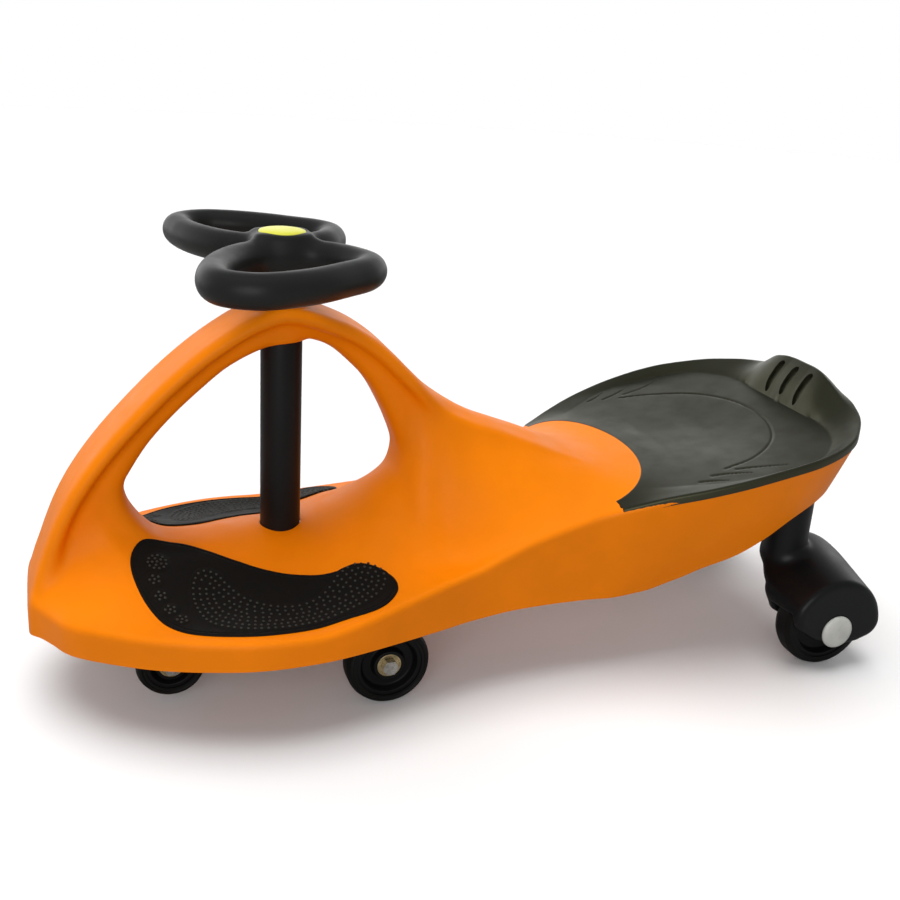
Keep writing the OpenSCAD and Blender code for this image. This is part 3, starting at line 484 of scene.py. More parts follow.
orange = moulded("orange_shell", (243, 129, 2), 0.025, 0.45, 1400.0, 0.00005, 0.12)
seat_black = moulded("seat_black", (23, 24, 19), 0.08, 0.42, 1100.0, 0.00009, 0.6, tint=WARM)
pad_black = moulded("pad_black", (17, 16, 14), 0.10, 0.6, 900.0, 0.0001, 0.12)
dot_black = moulded("dot_black", (56, 56, 51), 0.10, 0.55, 900.0, 0.00005, 0.2)
bar_black = moulded("bar_black", (29, 30, 29), 0.08, 0.42, 1500.0, 0.00005, 0.2)
sleeve_black = moulded("sleeve_black", (22, 22, 22), 0.10, 0.4, 1300.0, 0.00006, 0.15)
cast_black = moulded("leg_black", (18, 19, 20), 0.10, 0.36, 1200.0, 0.00006, 0.2)
tyre_black = moulded("tyre_black", (16, 16, 15), 0.12, 0.46, 900.0, 0.0001, 0.15, 30.0)
wheel_black = moulded("wheel_black", (14, 14, 14), 0.12, 0.42, 1300.0, 0.00006, 0.15, 30.0)
bush_grey = moulded("bush_grey", (70, 72, 74), 0.08, 0.5, 1200.0, 0.00006)
cap_yellow = moulded("cap_yellow", (226, 224, 78), 0.03, 0.36, 1300.0, 0.00004, 0.25)
cap_grey = moulded("cap_grey", (196, 196, 190), 0.05, 0.4, 1300.0, 0.00006, patches=60.0)
steel = metal("steel", (188, 186, 180), 0.3)
brass = metal("bearing_brass", (196, 176, 132), 0.3)


# The body's lines along x: half its width, and the heights of its upper edge and its foot

PLAN = [(-392.5, 18), (-386.5, 62), (-379.5, 83.5), (-369.5, 104), (-357.5, 120), (-343.5, 134.5),
        (-327, 144.5), (-309.5, 151), (-292, 155), (-275, 156), (-255, 155.5), (-220, 152),
        (-182, 143), (-145, 129), (-105, 114), (-75, 110), (-36, 110), (0, 113), (25, 117.5),
        (59, 128), (105, 141), (134, 148.5), (160, 153.5), (186, 155), (212, 154), (237, 149.5),
        (271, 139), (301, 126), (336, 105), (361, 84), (374, 63), (383, 40), (387.5, 17)]
EDGE = [(392, 95), (382, 97), (360, 99), (330, 101), (237, 102), (172, 102), (134, 107), (105, 112),
        (59, 121), (19, 127), (0, 134), (-36, 147.5), (-81, 161.5), (-116, 173.5), (-145, 184),
        (-182, 195), (-259, 215), (-292, 222), (-326, 229), (-356, 237), (-378, 244), (-392, 248)]
FOOT = [(392, 69), (370, 70), (330, 73), (250, 76), (150, 78), (20, 79), (-20, 81), (-110, 82),
        (-149, 85), (-182, 96), (-204, 107), (-240, 121), (-267, 137), (-290, 156), (-330, 176),
        (-363, 194), (-392, 213)]
# Rise of deck and neck in the middle, how each falls to the sides, and the lean of the sides
CROWN = [(-392, 0), (30, 0), (60, 10), (80, 22), (95, 29), (108, 31), (134, 32), (160, 36),
         (185, 36), (210, 32), (237, 30), (270, 31), (288, 34), (312, 32), (336, 26), (366, 14),
         (382, 7), (392, 2)]
CROWN_FULL = [(-392, 1.8), (110, 1.8), (134, 2.2), (160, 3.6), (185, 4.4), (210, 4), (245, 3.6),
              (290, 2.2), (330, 1.4), (366, 1), (392, 1)]
NECK = [(-392, 0), (-230, 0), (-182, 0), (-145, 6), (-108, 25), (-55, 61), (-20, 86), (3, 103),
        (20, 118), (36, 127), (46, 122), (56, 99), (62, 76), (66, 62), (76, 44), (88, 29),
        (102, 17), (120, 8), (140, 2), (160, 0), (392, 0)]
NECK_FULL = [(-392, 1), (-182, 1), (-145, 1.1), (-108, 1.3), (-55, 1.6), (-20, 2), (0, 2.5),
             (20, 3.4), (40, 5), (60, 5.5), (120, 4), (392, 4)]
LEAN = [(-392, 0.12), (-363, 0.28), (-330, 0.37), (-290, 0.39), (-240, 0.34), (-204, 0.31),
        (-182, 0.28), (-149, 0.19), (-105, 0.05), (-60, 0.02), (20, 0), (300, 0), (340, 0.03),
        (392, 0.08)]
# Seen from the side: the arch from nose to neck, what bounds the body behind it, and the opening
ARCH = [(389, 70), (388.5, 88), (386, 103), (381, 124), (373.5, 149), (362.5, 175), (348, 200),
        (328, 227), (304, 254), (275, 283), (244, 309), (212, 330), (190, 339.5), (172, 343),
        (150, 339.5), (128, 332), (106, 321.5), (83, 305), (60, 282.5), (37, 260), (19, 246.5),
        (-8, 232), (-25, 225), (-44, 217), (-69, 206), (-100, 190)]
TAIL = [(-69, 211), (-110, 206), (-150, 215), (-200, 260), (-420, 360)]
HOLE = [(302, 163), (307, 176), (308, 190), (301, 204), (286.5, 226), (266.5, 248.5), (243, 270.5),
        (219, 290), (191.5, 304), (164, 312), (150, 312), (132.5, 305.5), (115, 291), (96.5, 271),
        (82, 246), (72, 224), (67, 209), (64, 193), (63.5, 178), (67, 165), (78, 153), (98, 143),
        (126, 134), (160, 126), (230, 126), (272, 133), (290, 147)]

WALL = 3.5
OUTLINE_STEP, FINE_STEP = 2.5, 2.0
PLAN_LO, PLAN_HI = (-420, 0), (420, 200)
SIDE_LO, SIDE_HI = (-420, 40), (420, 380)
LEAST_HALF = 12
BLUR, BLUR_ROUNDS = np.array([1, 4, 6, 4, 1]) / 16, 6

X_LINE = np.arange(-420, 420.5)
edge_line, foot_line, lean_line = curve(EDGE, X_LINE), curve(FOOT, X_LINE), curve(LEAN, X_LINE)


def on_line(line, x):
    return np.interp(x, X_LINE, line)


half_plan = spline(PLAN, OUTLINE_STEP)
plan_outline = np.vstack([half_plan, (half_plan * [1, -1])[::-1]])
plan = Chart(PLAN_LO, PLAN_HI, lambda x, y: distance(plan_outline, x, y))
arch_outline = np.vstack([spline(ARCH, OUTLINE_STEP), [(-100, 0), (392, 0)]])
arch_out = Chart(SIDE_LO, SIDE_HI, lambda x, z: distance(arch_outline, x, z))
limit_outline = np.vstack([spline(ARCH[:-2] + TAIL, OUTLINE_STEP), [(-420, 0), (392, 0)]])
side_limit = Chart(SIDE_LO, SIDE_HI, lambda x, z: distance(limit_outline, x, z))
hole_outline = spline(HOLE, OUTLINE_STEP, True)
arch_in = Chart(SIDE_LO, SIDE_HI, lambda x, z: distance(hole_outline, x, z))


def deck_height(x, y):
    """Height of deck, neck and tub without the arch, smoothed a little."""
    half = np.interp(x, half_plan[:, 0], half_plan[:, 1])
    u = np.clip(y / np.maximum(half, LEAST_HALF), 0, 1)
    fall = 1 - u * u
    crown = curve(CROWN, x) * fall ** curve(CROWN_FULL, x)
    neck = curve(NECK, x) * fall ** curve(NECK_FULL, x)
    top = curve(EDGE, x) + crown + neck
    for _ in range(BLUR_ROUNDS):
        wide = np.pad(top, ((2, 2), (0, 0)), mode="edge")
        top = sum(k * wide[i:i + top.shape[0]] for i, k in enumerate(BLUR))
        wide = np.pad(top, ((0, 0), (2, 2)), mode="reflect")
        top = sum(k * wide[:, i:i + top.shape[1]] for i, k in enumerate(BLUR))
    return top


deck = Chart(PLAN_LO, PLAN_HI, deck_height)
slope = np.gradient(deck.g)
steep = Chart(PLAN_LO, PLAN_HI, lambda x, y: 1 / np.sqrt(1 + slope[0] ** 2 + slope[1] ** 2))

# The body: deck, neck and tub as a hull, the web round the opening, the arch's band and a collar

EDGE_ROUND = 6
WEB_HALF, WEB_INSET, WEB_ROUND = 23, 8, 16
BAND_REAR, BAND_FRONT, BAND_RUN = 8, 36, 60  # half widths, and where the band widens
BAND_DEEP, BAND_INSET, BAND_ROUND, BAND_BLEND = 13, 2, 13, 9
FILLET_HOLE, FILLET_REAR, FILLET_FRONT = 10, 22, 46  # between web and hull
FILLET_X, FILLET_RUN = 130, 80
HOLE_CLEAR, HOLE_RUN = 4, 25
LIMIT_GAP, LIMIT_ROUND = 4, 5
COLLAR_R, COLLAR_FOOT, COLLAR_TOP, COLLAR_ROUND = 20, 311, 346, 3
MARCH_FROM, MARCH_STEPS, MARCH_RATE = 70, 60, 0.9


def body_form(x, y, z):
    y = np.abs(y)
    out, hole = arch_out(x, z), arch_in(x, z)
    lean = on_line(lean_line, x)
    side = (plan(x, y) + lean * (on_line(edge_line, x) - z)) / np.sqrt(1 + lean * lean)
    hull = smax((z - deck(x, y)) * steep(x, y), side, EDGE_ROUND)
    web = smax(smax(y - WEB_HALF, -hole, WEB_ROUND), out + WEB_INSET, EDGE_ROUND)
    ahead = (FILLET_FRONT - FILLET_REAR) * ease((x - FILLET_X) / FILLET_RUN)
    fillet = (FILLET_HOLE + (FILLET_REAR - FILLET_HOLE + ahead)
              * ease((hole - HOLE_CLEAR) / HOLE_RUN))
    band_half = BAND_REAR + (BAND_FRONT - BAND_REAR) * ease(x / BAND_RUN)
    inner = smax(-out - BAND_DEEP, -hole + BAND_INSET, EDGE_ROUND)
    band = smax(smax(y - band_half, out, BAND_ROUND), inner, BAND_BLEND)
    collar = smax(np.hypot(x - STEER_X, y) - COLLAR_R, z - COLLAR_TOP, COLLAR_ROUND)
    collar = smax(collar, COLLAR_FOOT - z, COLLAR_ROUND)
    form = smin(smin(hull, web, fillet), band, BAND_BLEND)
    return smin(smax(form, side_limit(x, z) - LIMIT_GAP, LIMIT_ROUND), collar, EDGE_ROUND)


def deck_top(x, y):
    """Height of the body's upper surface."""
    z = deck(x, np.abs(y)) + MARCH_FROM
    for _ in range(MARCH_STEPS):
        z = z - MARCH_RATE * body_form(x, y, z)
    return z


# The seat's outline and surface, which also shape the tub's pocket

REAR_END, RIM_FRONT = -392, -100
TONGUE_X, TONGUE_HALF, TONGUE_LENGTH, TONGUE_GAP = -112.0, 100.0, 57.0, 2
TONGUE_POINTS = 40
SEAT_INSET, POCKET_INSET = 1.2, 4.0


def seat_outline(inset):
    """The body's rim drawn inward, with a hollow front where the neck's tongue runs in."""
    rim = half_plan[half_plan[:, 0] < RIM_FRONT]
    step = np.gradient(rim, axis=0)
    across = np.stack([step[:, 1], -step[:, 0]], 1)
    rim = rim + inset * across / np.linalg.norm(across, axis=1, keepdims=True)
    rim = rim[(rim[:, 0] < TONGUE_X - TONGUE_GAP) & (rim[:, 1] > 0)]
    a = np.linspace(0, math.pi / 2, TONGUE_POINTS)
    tongue = np.stack([TONGUE_X - TONGUE_LENGTH * np.sin(a),
                       (TONGUE_HALF + inset) * np.cos(a)], 1)
    tongue[:, 0] -= inset
    half = np.vstack([[(REAR_END + inset, 0)], rim, tongue])
    return np.vstack([half, (half * [1, -1])[::-1][1:-1]])


pocket_line = seat_outline(POCKET_INSET)
pocket = Chart((-420, -200), (-60, 200), lambda x, y: distance(pocket_line, x, y))

SEAT_FLOOR = [(-100, 170), (-140, 181), (-172, 190.5), (-200, 197), (-230, 203), (-260, 207.5),
              (-290, 213.5), (-345, 225.8), (-392, 233)]
# Width of the level rim and of the rim with its wall, by the distance from the car's middle
RIM_FLAT = [(0, 20), (40, 19), (60, 14), (80, 6), (100, 2.5), (160, 2.5)]
WALL_FOOT = [(0, 45), (45, 40), (65, 35), (85, 30), (100, 26), (120, 21), (138, 14), (160, 12)]
RIM_RISE = 1.5
WALL_SLOPE, WALL_CURL, WALL_TURN, WALL_BLEND = 0.5, 0.58, 0.98, 3
DISH_X, DISH_DEPTH, DISH_LONG, DISH_WIDE = -245.0, 5.0, 60, 70
LIP_TOP, LIP_HALF, LIP_BACK, LIP_X, LIP_RUN = 268.0, 64.0, 21.0, -325, 20
MEET_RATE, MEET_AHEAD, MEET_RUN, MEET_RISE = 1.6, 6, 34, 0.3
Y_LINE = np.arange(0, 200.5)
floor_line = curve(SEAT_FLOOR, X_LINE)
flat_line, wall_line = curve(RIM_FLAT, Y_LINE), curve(WALL_FOOT, Y_LINE)


def seat_top(x, y):
    """Height of the dished seat, with its rolled lip behind and the neck's tongue ahead."""
    y = np.abs(y)
    in_from_rim = -(plan(x, y) + SEAT_INSET)
    rim = on_line(edge_line, x) + RIM_RISE
    roll = np.sin(math.pi / 2 * np.clip(in_from_rim / LIP_BACK, 0, 1))
    across = np.exp(-(y / LIP_HALF) ** 4)
    top = rim + (LIP_TOP - rim) * across * ease((LIP_X - x) / LIP_RUN) * roll
    dish = DISH_DEPTH * np.exp(-((x - DISH_X) / DISH_LONG) ** 2 - (y / DISH_WIDE) ** 2)
    deep = np.maximum(top - on_line(floor_line, x) + dish, 0.01)
    flat = np.interp(y, Y_LINE, flat_line)
    down = np.clip((in_from_rim - flat) / (np.interp(y, Y_LINE, wall_line) - flat), 0, 1)
    curl = 1 - np.sqrt(1 - WALL_TURN * down * down)
    z = top - smin(deep * (WALL_SLOPE * down + WALL_CURL * curl), deep, WALL_BLEND)
    to_tongue = np.hypot((x - TONGUE_X) / TONGUE_LENGTH, y / TONGUE_HALF) - 1
    meet = ease(to_tongue * MEET_RATE) * ease((TONGUE_X + MEET_AHEAD - x) / MEET_RUN)
    return z * meet + (deck(x, y) + MEET_RISE) * (1 - meet)


# The body's shell: open below, bored for the column, with a pocket that the seat lies in

BODY_LO, BODY_HI, BODY_STEP = (-402, -166, 58), (402, 166, 352), 2.7
BORE_R, BORE_TOP = 18.6, 200
FAR = 50  # a distance that cuts nothing
POCKET_FRONT, POCKET_REACH, POCKET_LEAST, POCKET_DROP = -80, 7, 1, 5.8
SLOT_X, SLOT_HALF, SLOT_PITCH, SLOT_WIDE = -357.0, 4.0, 24.0, 9.5
ROOM_R, ROOM_SQUEEZE, ROOM_RUN, ROOM_DROP = 42, 1.8, 10, 12  # the pocket under the slots

points, quads, normals = surface(body_form, BODY_LO, BODY_HI, BODY_STEP * coarse)
shell = np.hstack([points, normals])
above_foot = shell[:, 2] - on_line(foot_line, shell[:, 0])
shell, tris, _ = split(shell, triangles(quads), above_foot)
bore = np.hypot(shell[:, 0] - STEER_X, shell[:, 1]) - BORE_R
shell, tris, _ = split(shell, tris, np.where(shell[:, 2] < BORE_TOP, bore, FAR))


def pocket_floor(p):
    from_slots = np.hypot((p[:, 0] - SLOT_X) * ROOM_SQUEEZE, p[:, 1])
    drop = ROOM_DROP * ease((ROOM_R - from_slots) / ROOM_RUN)
    z = np.minimum(p[:, 2] - POCKET_LEAST, seat_top(p[:, 0], p[:, 1]) - POCKET_DROP - drop)
    return np.column_stack([p[:, :2], z, np.zeros((len(p), 2)), np.ones(len(p))])


below_rim = on_line(edge_line, shell[:, 0]) - POCKET_REACH - shell[:, 2]
away = np.maximum(pocket(shell[:, 0], shell[:, 1]), below_rim)
shell, tris = sink(shell, tris, np.where(shell[:, 0] < POCKET_FRONT, away, FAR), pocket_floor)
points, tris = thicken(shell[:, :3], tris, shell[:, :3] - WALL * shell[:, 3:])
mesh("body_shell_moulding", points, tris, orange, "body", ["body_shell"], 50)

# The seat: a dished sheet with a line round the rider, short strokes beside it, slots in its lip

SEAT_LINE = [(-222, 107), (-255, 99), (-285, 81), (-304, 57), (-316, 22)]
STROKES = [((-230, 113), (-252, 119), (-275, 129)), ((-205, 113), (-220, 118), (-238, 127)),
           ((-190, 118), (-200, 122), (-212, 130))]
LINE_HALF, LINE_DEEP = 1.9, 1.0
STROKE_TIP, STROKE_SWELL, STROKE_DEEP = 0.8, 1.8, 0.9
SEAT_ROUND, SEAT_RINGS = 2.2, (0.2, 0.7, 1.4, 2.2)
SEAT_STEP, SEAT_THICK = 1.5, 5.5
SLOT_SINK = [2.0, 0, 3.5]

seat_line = spline(SEAT_LINE + [(x, -y) for x, y in SEAT_LINE[::-1]])
seat_edge = seat_outline(SEAT_INSET)


def groove(away, half, depth):
    return -depth * ease(1 - away / half)


def edge_drop(inward, radius):
    """How far a rounded edge lies below its surface."""
    t = 1 - np.clip(inward / radius, 0, 1)
    return radius * (1 - np.sqrt(np.clip(1 - t ** 2, 0, 1)))


def seat_skin(x, y):
    z = seat_top(x, y) + groove(distance(seat_line, x, y, False), LINE_HALF, LINE_DEEP)
    for stroke in STROKES:
        line = spline(stroke)
        along = (x - line[-1, 0]) / (line[0, 0] - line[-1, 0])
        half = STROKE_TIP + STROKE_SWELL * ease(along)
        z = z + groove(distance(line, x, np.abs(y), False), half, STROKE_DEEP)
    return z - edge_drop(-distance(seat_edge, x, y), SEAT_ROUND)


def to_slots(x, y):
    """Distance to the nearest of three slots, negative inside."""
    along = np.maximum(np.abs(x - SLOT_X) - SLOT_HALF, 0)
    rows = [np.hypot(along, y - k * SLOT_PITCH) for k in (-1, 0, 1)]
    return np.min(rows, axis=0) - SLOT_WIDE / 2


points, tris = field_sheet(seat_edge, seat_skin, SEAT_STEP * coarse, SEAT_RINGS)
slots = to_slots(points[:, 0], points[:, 1])
points, tris = sink(points, tris, slots, lambda p: p - SLOT_SINK)
points, tris = thicken(points, tris, points - [0, 0, SEAT_THICK])
mesh("seat_skin", points, tris, seat_black, "body", ["seat"])

# Foot pads on the deck: a smooth instep, five toe patches and a sole with raised dots

PAD = [(308, 44), (304, 70), (296, 93), (284, 113), (262, 129), (224, 140), (188, 142),
       (150, 137.5), (114, 134), (95, 120), (92, 105), (102, 91), (121, 80), (143, 79.5),
       (168, 70.5), (196, 60), (220, 45), (241, 30), (262, 20), (283, 19), (300, 26)]
SOLE = [(263, 72), (263, 92), (256, 113), (243, 125), (222, 134), (192, 137.5), (160, 134),
        (130, 128), (108, 119), (98, 105), (99, 91), (109, 80), (124, 77.5), (138, 82), (148, 91),
        (161, 99), (180, 102.5), (200, 98), (217, 87), (228, 71), (236, 57), (248, 51), (257, 56)]
TOES = [((286, 44), 10.5), ((290, 63), 8.5), ((287, 80), 7.5), ((281, 95), 6.5), ((273, 107), 6.0)]
PAD_STEP, PAD_HEIGHT, PAD_SUNK, PAD_ROUND = 1.7, 1.8, 0.4, 1.5
PAD_RINGS = (0.2, 0.7, 1.5, 2.4, 3.2, 4.0)
BEAD_IN, BEAD_HALF, BEAD_DEEP = 3.2, 0.9, 0.5
PATCH_RISE, PATCH_EDGE, PATCH_DEEP = 0.45, 1.2, 0.3
DOT_RADIUS, DOT_HEIGHT, DOT_PITCH, DOT_CLEAR, DOT_SIDES = 1.25, 0.8, 5.4, 0.92, 8
ROWS, ROW_START, ROW_NEAR = 7, 3.4, 0.5
RING_START, RING_STEP, RING_EDGE, RING_PITCH = 4.0, 3.6, 1.5, 4.2

pad_edge, sole_edge = spline(PAD, FINE_STEP, True), spline(SOLE, FINE_STEP, True)


def patches(x, y):
    """Distance to the nearest raised patch, negative on it."""
    toes = [np.hypot(x - c[0], y - c[1]) - r for c, r in TOES]
    return np.minimum(distance(sole_edge, x, y), np.min(toes, axis=0))


def pad_skin(x, y):
    edge = -distance(pad_edge, x, y)
    away = patches(x, y)
    return (deck_top(x, y) + PAD_HEIGHT - edge_drop(edge, PAD_ROUND)
            + groove(np.abs(edge - BEAD_IN), BEAD_HALF, BEAD_DEEP)
            + PATCH_RISE * ease(0.5 - away / PATCH_EDGE)
            + groove(np.abs(away - PATCH_EDGE), BEAD_HALF, PATCH_DEEP))


def dot_places():
    """Rows of dots that follow the sole's edge inward, and rings of them on each toe."""
    out = []
    step = np.roll(sole_edge, -1, 0) - np.roll(sole_edge, 1, 0)
    inward = np.stack([-step[:, 1], step[:, 0]], 1) / np.linalg.norm(step, axis=1, keepdims=True)
    for row in range(ROWS):
        depth = ROW_START + row * DOT_PITCH
        p = sole_edge + depth * inward
        d = distance(sole_edge, p[:, 0], p[:, 1])
        if d.mean() > 0:
            break
        for q in p[np.abs(d + depth) < ROW_NEAR]:
            if all(np.hypot(*(q - o)) > DOT_PITCH * DOT_CLEAR for o in out):
                out.append(q)
    for (x, y), r in TOES:
        out.append(np.array([x, y]))
        for ring in np.arange(RING_START, r - RING_EDGE, RING_STEP):
            k = int(2 * math.pi * ring / RING_PITCH)
            for a in 2 * math.pi * np.arange(k) / k:
                out.append(np.array([x + ring * math.cos(a), y + ring * math.sin(a)]))
    return np.array(out)


sheet, sheet_tris = field_sheet(pad_edge, pad_skin, PAD_STEP * coarse, PAD_RINGS)
under = np.column_stack([sheet[:, :2], deck_top(sheet[:, 0], sheet[:, 1]) - PAD_SUNK])
sheet, sheet_tris = thicken(sheet, sheet_tris, under)
dot_at = dot_places()
dot_z = pad_skin(dot_at[:, 0], dot_at[:, 1])
DOT = [(DOT_RADIUS, -0.5), (DOT_RADIUS * 0.95, 0.15), (DOT_RADIUS * 0.6, DOT_HEIGHT * 0.8),
       (0, DOT_HEIGHT)]
dot, dot_faces = lathe(DOT, DOT_SIDES, False)
dots = np.vstack([dot + [x, y, z] for (x, y), z in zip(dot_at, dot_z)])
dot_faces = [np.vstack([f + k * len(dot) for k in range(len(dot_at))]) for f in dot_faces]
for side, name in SIDES:
    node = "foot_pad_" + name
    turn = slice(None, None, side)
    mesh(node + "_mat", sheet * [1, side, 1], sheet_tris[:, turn], pad_black, "body", [node])
    mesh(node + "_dots", dots * [1, side, 1], [f[:, turn] for f in dot_faces], dot_black, "body")

# The handlebar: two loops that meet at a hub, with a cap on it and the column below

LOOP = [(72, 116), (69, 85), (58, 55), (41, 30), (21, 15), (0, 12), (-21, 15), (-40, 28), (-53, 50),
        (-57, 70), (-48, 88), (-29, 104), (-4, 123), (20, 135), (43, 140), (62, 132.5)]
LOOP_Z, TUBE, LOOP_BLEND = 384.0, 13.75, 9
HUB_R, HUB_FOOT, HUB_TOP, HUB_ROUND, HUB_BLEND = 23, 351, 400.2, 4, 16
BAR_LO, BAR_HI, BAR_STEP = (96, -156, 346), (262, 156, 406), 2.0
CAP = [(0, 400.0), (19.6, 400.0), (20, 400.4), (20, 402.2), (19.4, 403.2), (17.5, 403.9),
       (13, 404.5), (7, 404.9), (0, 405)]
COLUMN = [(14, 97, 1), (18, 97, 3), (18, 310.6, 1.5), (14, 310.6, 1)]

loop_line = spline(LOOP, FINE_STEP, True)
loop = Chart((-90, -165), (105, 165), lambda x, y: np.abs(distance(loop_line, x, y)))


def bar_form(x, y, z):
    x = x - STEER_X
    up = z - LOOP_Z
    one = np.hypot(loop(x, y), up) - TUBE
    two = np.hypot(loop(x, -y), up) - TUBE
    hub = smax(smax(np.hypot(x, y) - HUB_R, z - HUB_TOP, HUB_ROUND), HUB_FOOT - z, HUB_ROUND)
    return smin(smin(one, two, LOOP_BLEND), hub, HUB_BLEND)


points, quads, _ = surface(bar_form, BAR_LO, BAR_HI, BAR_STEP * coarse)
mesh("handlebar_grip", points, quads, bar_black, "steering", ["steering_wheel"], 60)
points, faces = lathe(CAP, closed=False)
mesh("hub_cap_disc", points + [STEER_X, 0, 0], faces, cap_yellow, "steering",
     ["hub_cap"], 55)
points, faces = lathe(rounded(COLUMN))
mesh("column_tube", points + [STEER_X, 0, 0], faces, sleeve_black, "steering",
     ["column_sleeve"], 50)

# Rear legs: a round shank that sweeps out into a hood over the wheel, and a cap on the axle

REAR_X, REAR_Y, REAR_Z = -340.016, 132.01, 44.5
SHANK_X, SHANK_Y, SHANK_R, SHANK_FOOT, SHANK_TOP = -318.0, 88.0, 21.0, 95, 190.0
HOOD_FACE, HOOD_R, HOOD_FLARE, HOOD_ROUND, FACE_ROUND = 158.5, 51.0, 0.21, 10, 6
WELL_R, WELL_HALF, WELL_ROUND = 48.5, 15.5, 2
SHANK_BLEND, CUT_ROUND = 9, 3
LEG_LO, LEG_HI, LEG_STEP = (-410, 56, 8), (-264, 166, 196), 2.0
LEG_SIDE = [(-272, 150), (-274, 105), (-285, 76), (-298, 50), (-319, 36), (-351, 27), (-368, 29),
            (-385, 35), (-400, 44), (-420, 90), (-400, 150)]
LEG_INNER = [(60, 200), (63, 120), (73, 101), (101, 75), (101, 0), (200, 0), (200, 200)]
DOME = [(0, 0), (16.1, 0), (16.5, 0.4), (16.5, 1.8), (15.8, 2.9), (13.5, 3.8), (9, 4.6), (4.5, 4.9),
        (0, 5)]
leg_side = Chart((-420, 0), (-260, 200), lambda x, z: distance(np.array(LEG_SIDE, float), x, z))
leg_inner = Chart((50, 0), (180, 200), lambda y, z: distance(np.array(LEG_INNER, float), y, z))


def leg_form(x, y, z):
    shank = smax(np.hypot(x - SHANK_X, y - SHANK_Y) - SHANK_R, SHANK_FOOT - z, FACE_ROUND)
    shank = smax(shank, z - SHANK_TOP, CUT_ROUND)
    reach = np.hypot(x - REAR_X, z - REAR_Z)
    cone = (reach - HOOD_R - HOOD_FLARE * (HOOD_FACE - y)) / math.hypot(1, HOOD_FLARE)
    hood = smax(smax(cone, leg_side(x, z), HOOD_ROUND), leg_inner(y, z), HOOD_ROUND)
    hood = smax(hood, y - HOOD_FACE, FACE_ROUND)
    well = smax(reach - WELL_R, np.abs(y - REAR_Y) - WELL_HALF, WELL_ROUND)
    return smax(smin(shank, hood, SHANK_BLEND), -well, CUT_ROUND)


leg, quads, _ = surface(leg_form, LEG_LO, LEG_HI, LEG_STEP * coarse)
for side, name in SIDES:
    node = "rear_leg_" + name
    mesh(node + "_casting", leg * [1, side, 1], quads[:, ::side], cast_black, "body",
         [node], 60)
dome, faces = lathe(DOME, 72, False)
for side, name in SIDES:
    node = "axle_cap_" + name
    mesh(node + "_dome", along_y(dome, REAR_X, side * HOOD_FACE, REAR_Z, side), faces, cap_grey,
         "body", [node], 55)

# Wheels: tyre, dished hub and two shielded bearings each

WHEEL_WIDE, TYRE_DEEP, HUB_INSET, HUB_DISH = 26.0, 8, 2, 7
BEARING_HALF, SHARP = 3.5, 35
WHEELS = {"front": (94.696, 96.0, 38.0, 38.0), "nose": (278.696, 57.0, 41.0, 30.0),
          "rear": (REAR_X, REAR_Y, REAR_Z, 44.5)}  # the axle's x, y and z, and the radius


def mirrored(profile):
    """A profile that goes back over the same corners on the other side of the middle."""
    return profile + [(r, -z, *fillet) for r, z, *fillet in profile[::-1]]


RACE = mirrored([(4.05, -3.5, 0.3), (6.3, -3.5, 0.3), (6.5, -3.0), (9.1, -3.0), (9.3, -3.5, 0.3),
                 (11, -3.5, 0.4)])


def wheel(kind, name, side):
    x, y, z, radius = WHEELS[kind]
    tread, half = radius - TYRE_DEEP, WHEEL_WIDE / 2
    core = half - HUB_INSET
    tyre = mirrored([(tread, 1.2 - half), (tread + 2.4, 1.2 - half, 0.5), (tread + 3.4, -half, 0.8),
                     (radius - 2.2, 0.8 - half, 3), (radius, 6.5 - half, 5)])
    hub = mirrored([(11.05, -core), (13.8, -core, 0.8), (15.2, HUB_DISH - core, 2),
                    (tread - 6.5, HUB_DISH - core, 2.5), (tread - 3.8, -core, 1),
                    (tread - 0.05, -core, 0.4)])
    at = (x, side * y, z, side)
    body = kind + "_wheel_" + name
    for part, profile, material, slot in (("tyre", tyre, tyre_black, "tyre"),
                                          ("hub", hub, wheel_black, "wheel_hub")):
        node = kind + "_" + part + "_" + name
        points, faces = lathe(rounded(profile))
        mesh(node + "_turned", along_y(points, *at), faces, material, body, [node], SHARP)
    node = kind + "_bearings_" + name
    points, faces = lathe(rounded(RACE), 64)
    outward = [0, 0, core - BEARING_HALF]
    both = np.vstack([points + outward, points - outward])
    faces = [np.vstack([f, f + len(points)]) for f in faces]
    mesh(node + "_races", along_y(both, *at), faces, brass, body, [node], SHARP)


for side, name in SIDES:
    for kind in WHEELS:
        wheel(kind, name, side)

# The pieces that keep their CAD shape, by the first of these words in their names

PLAIN = {"bush": bush_grey, "thrust_washer": bush_grey, "steering_arm": cast_black,
         "screws": steel, "axle": steel, "steering_": steel}
for name, obj in nodes.items():
    for key, material in PLAIN.items():
        if key in name:
            obj.data.materials.clear()
            obj.data.materials.append(material)
            break

# Camera, at the place and tilt found from the photograph

IMAGE, SENSOR = 900, 36.0
F_PX, YAW, PITCH, ROLL = 1150.0, -0.3568, 0.3551, -0.0628
EYE = np.array([365.465, 952.533, 573.426]) / 1000


def unit(v):
    return v / np.linalg.norm(v)


def placed(right, up, back, at):
    """A matrix from an object's three axes and its place."""
    m = Matrix.Identity(4)
    for i in range(3):
        m[i][0], m[i][1], m[i][2], m[i][3] = right[i], up[i], back[i], at[i]
    return m


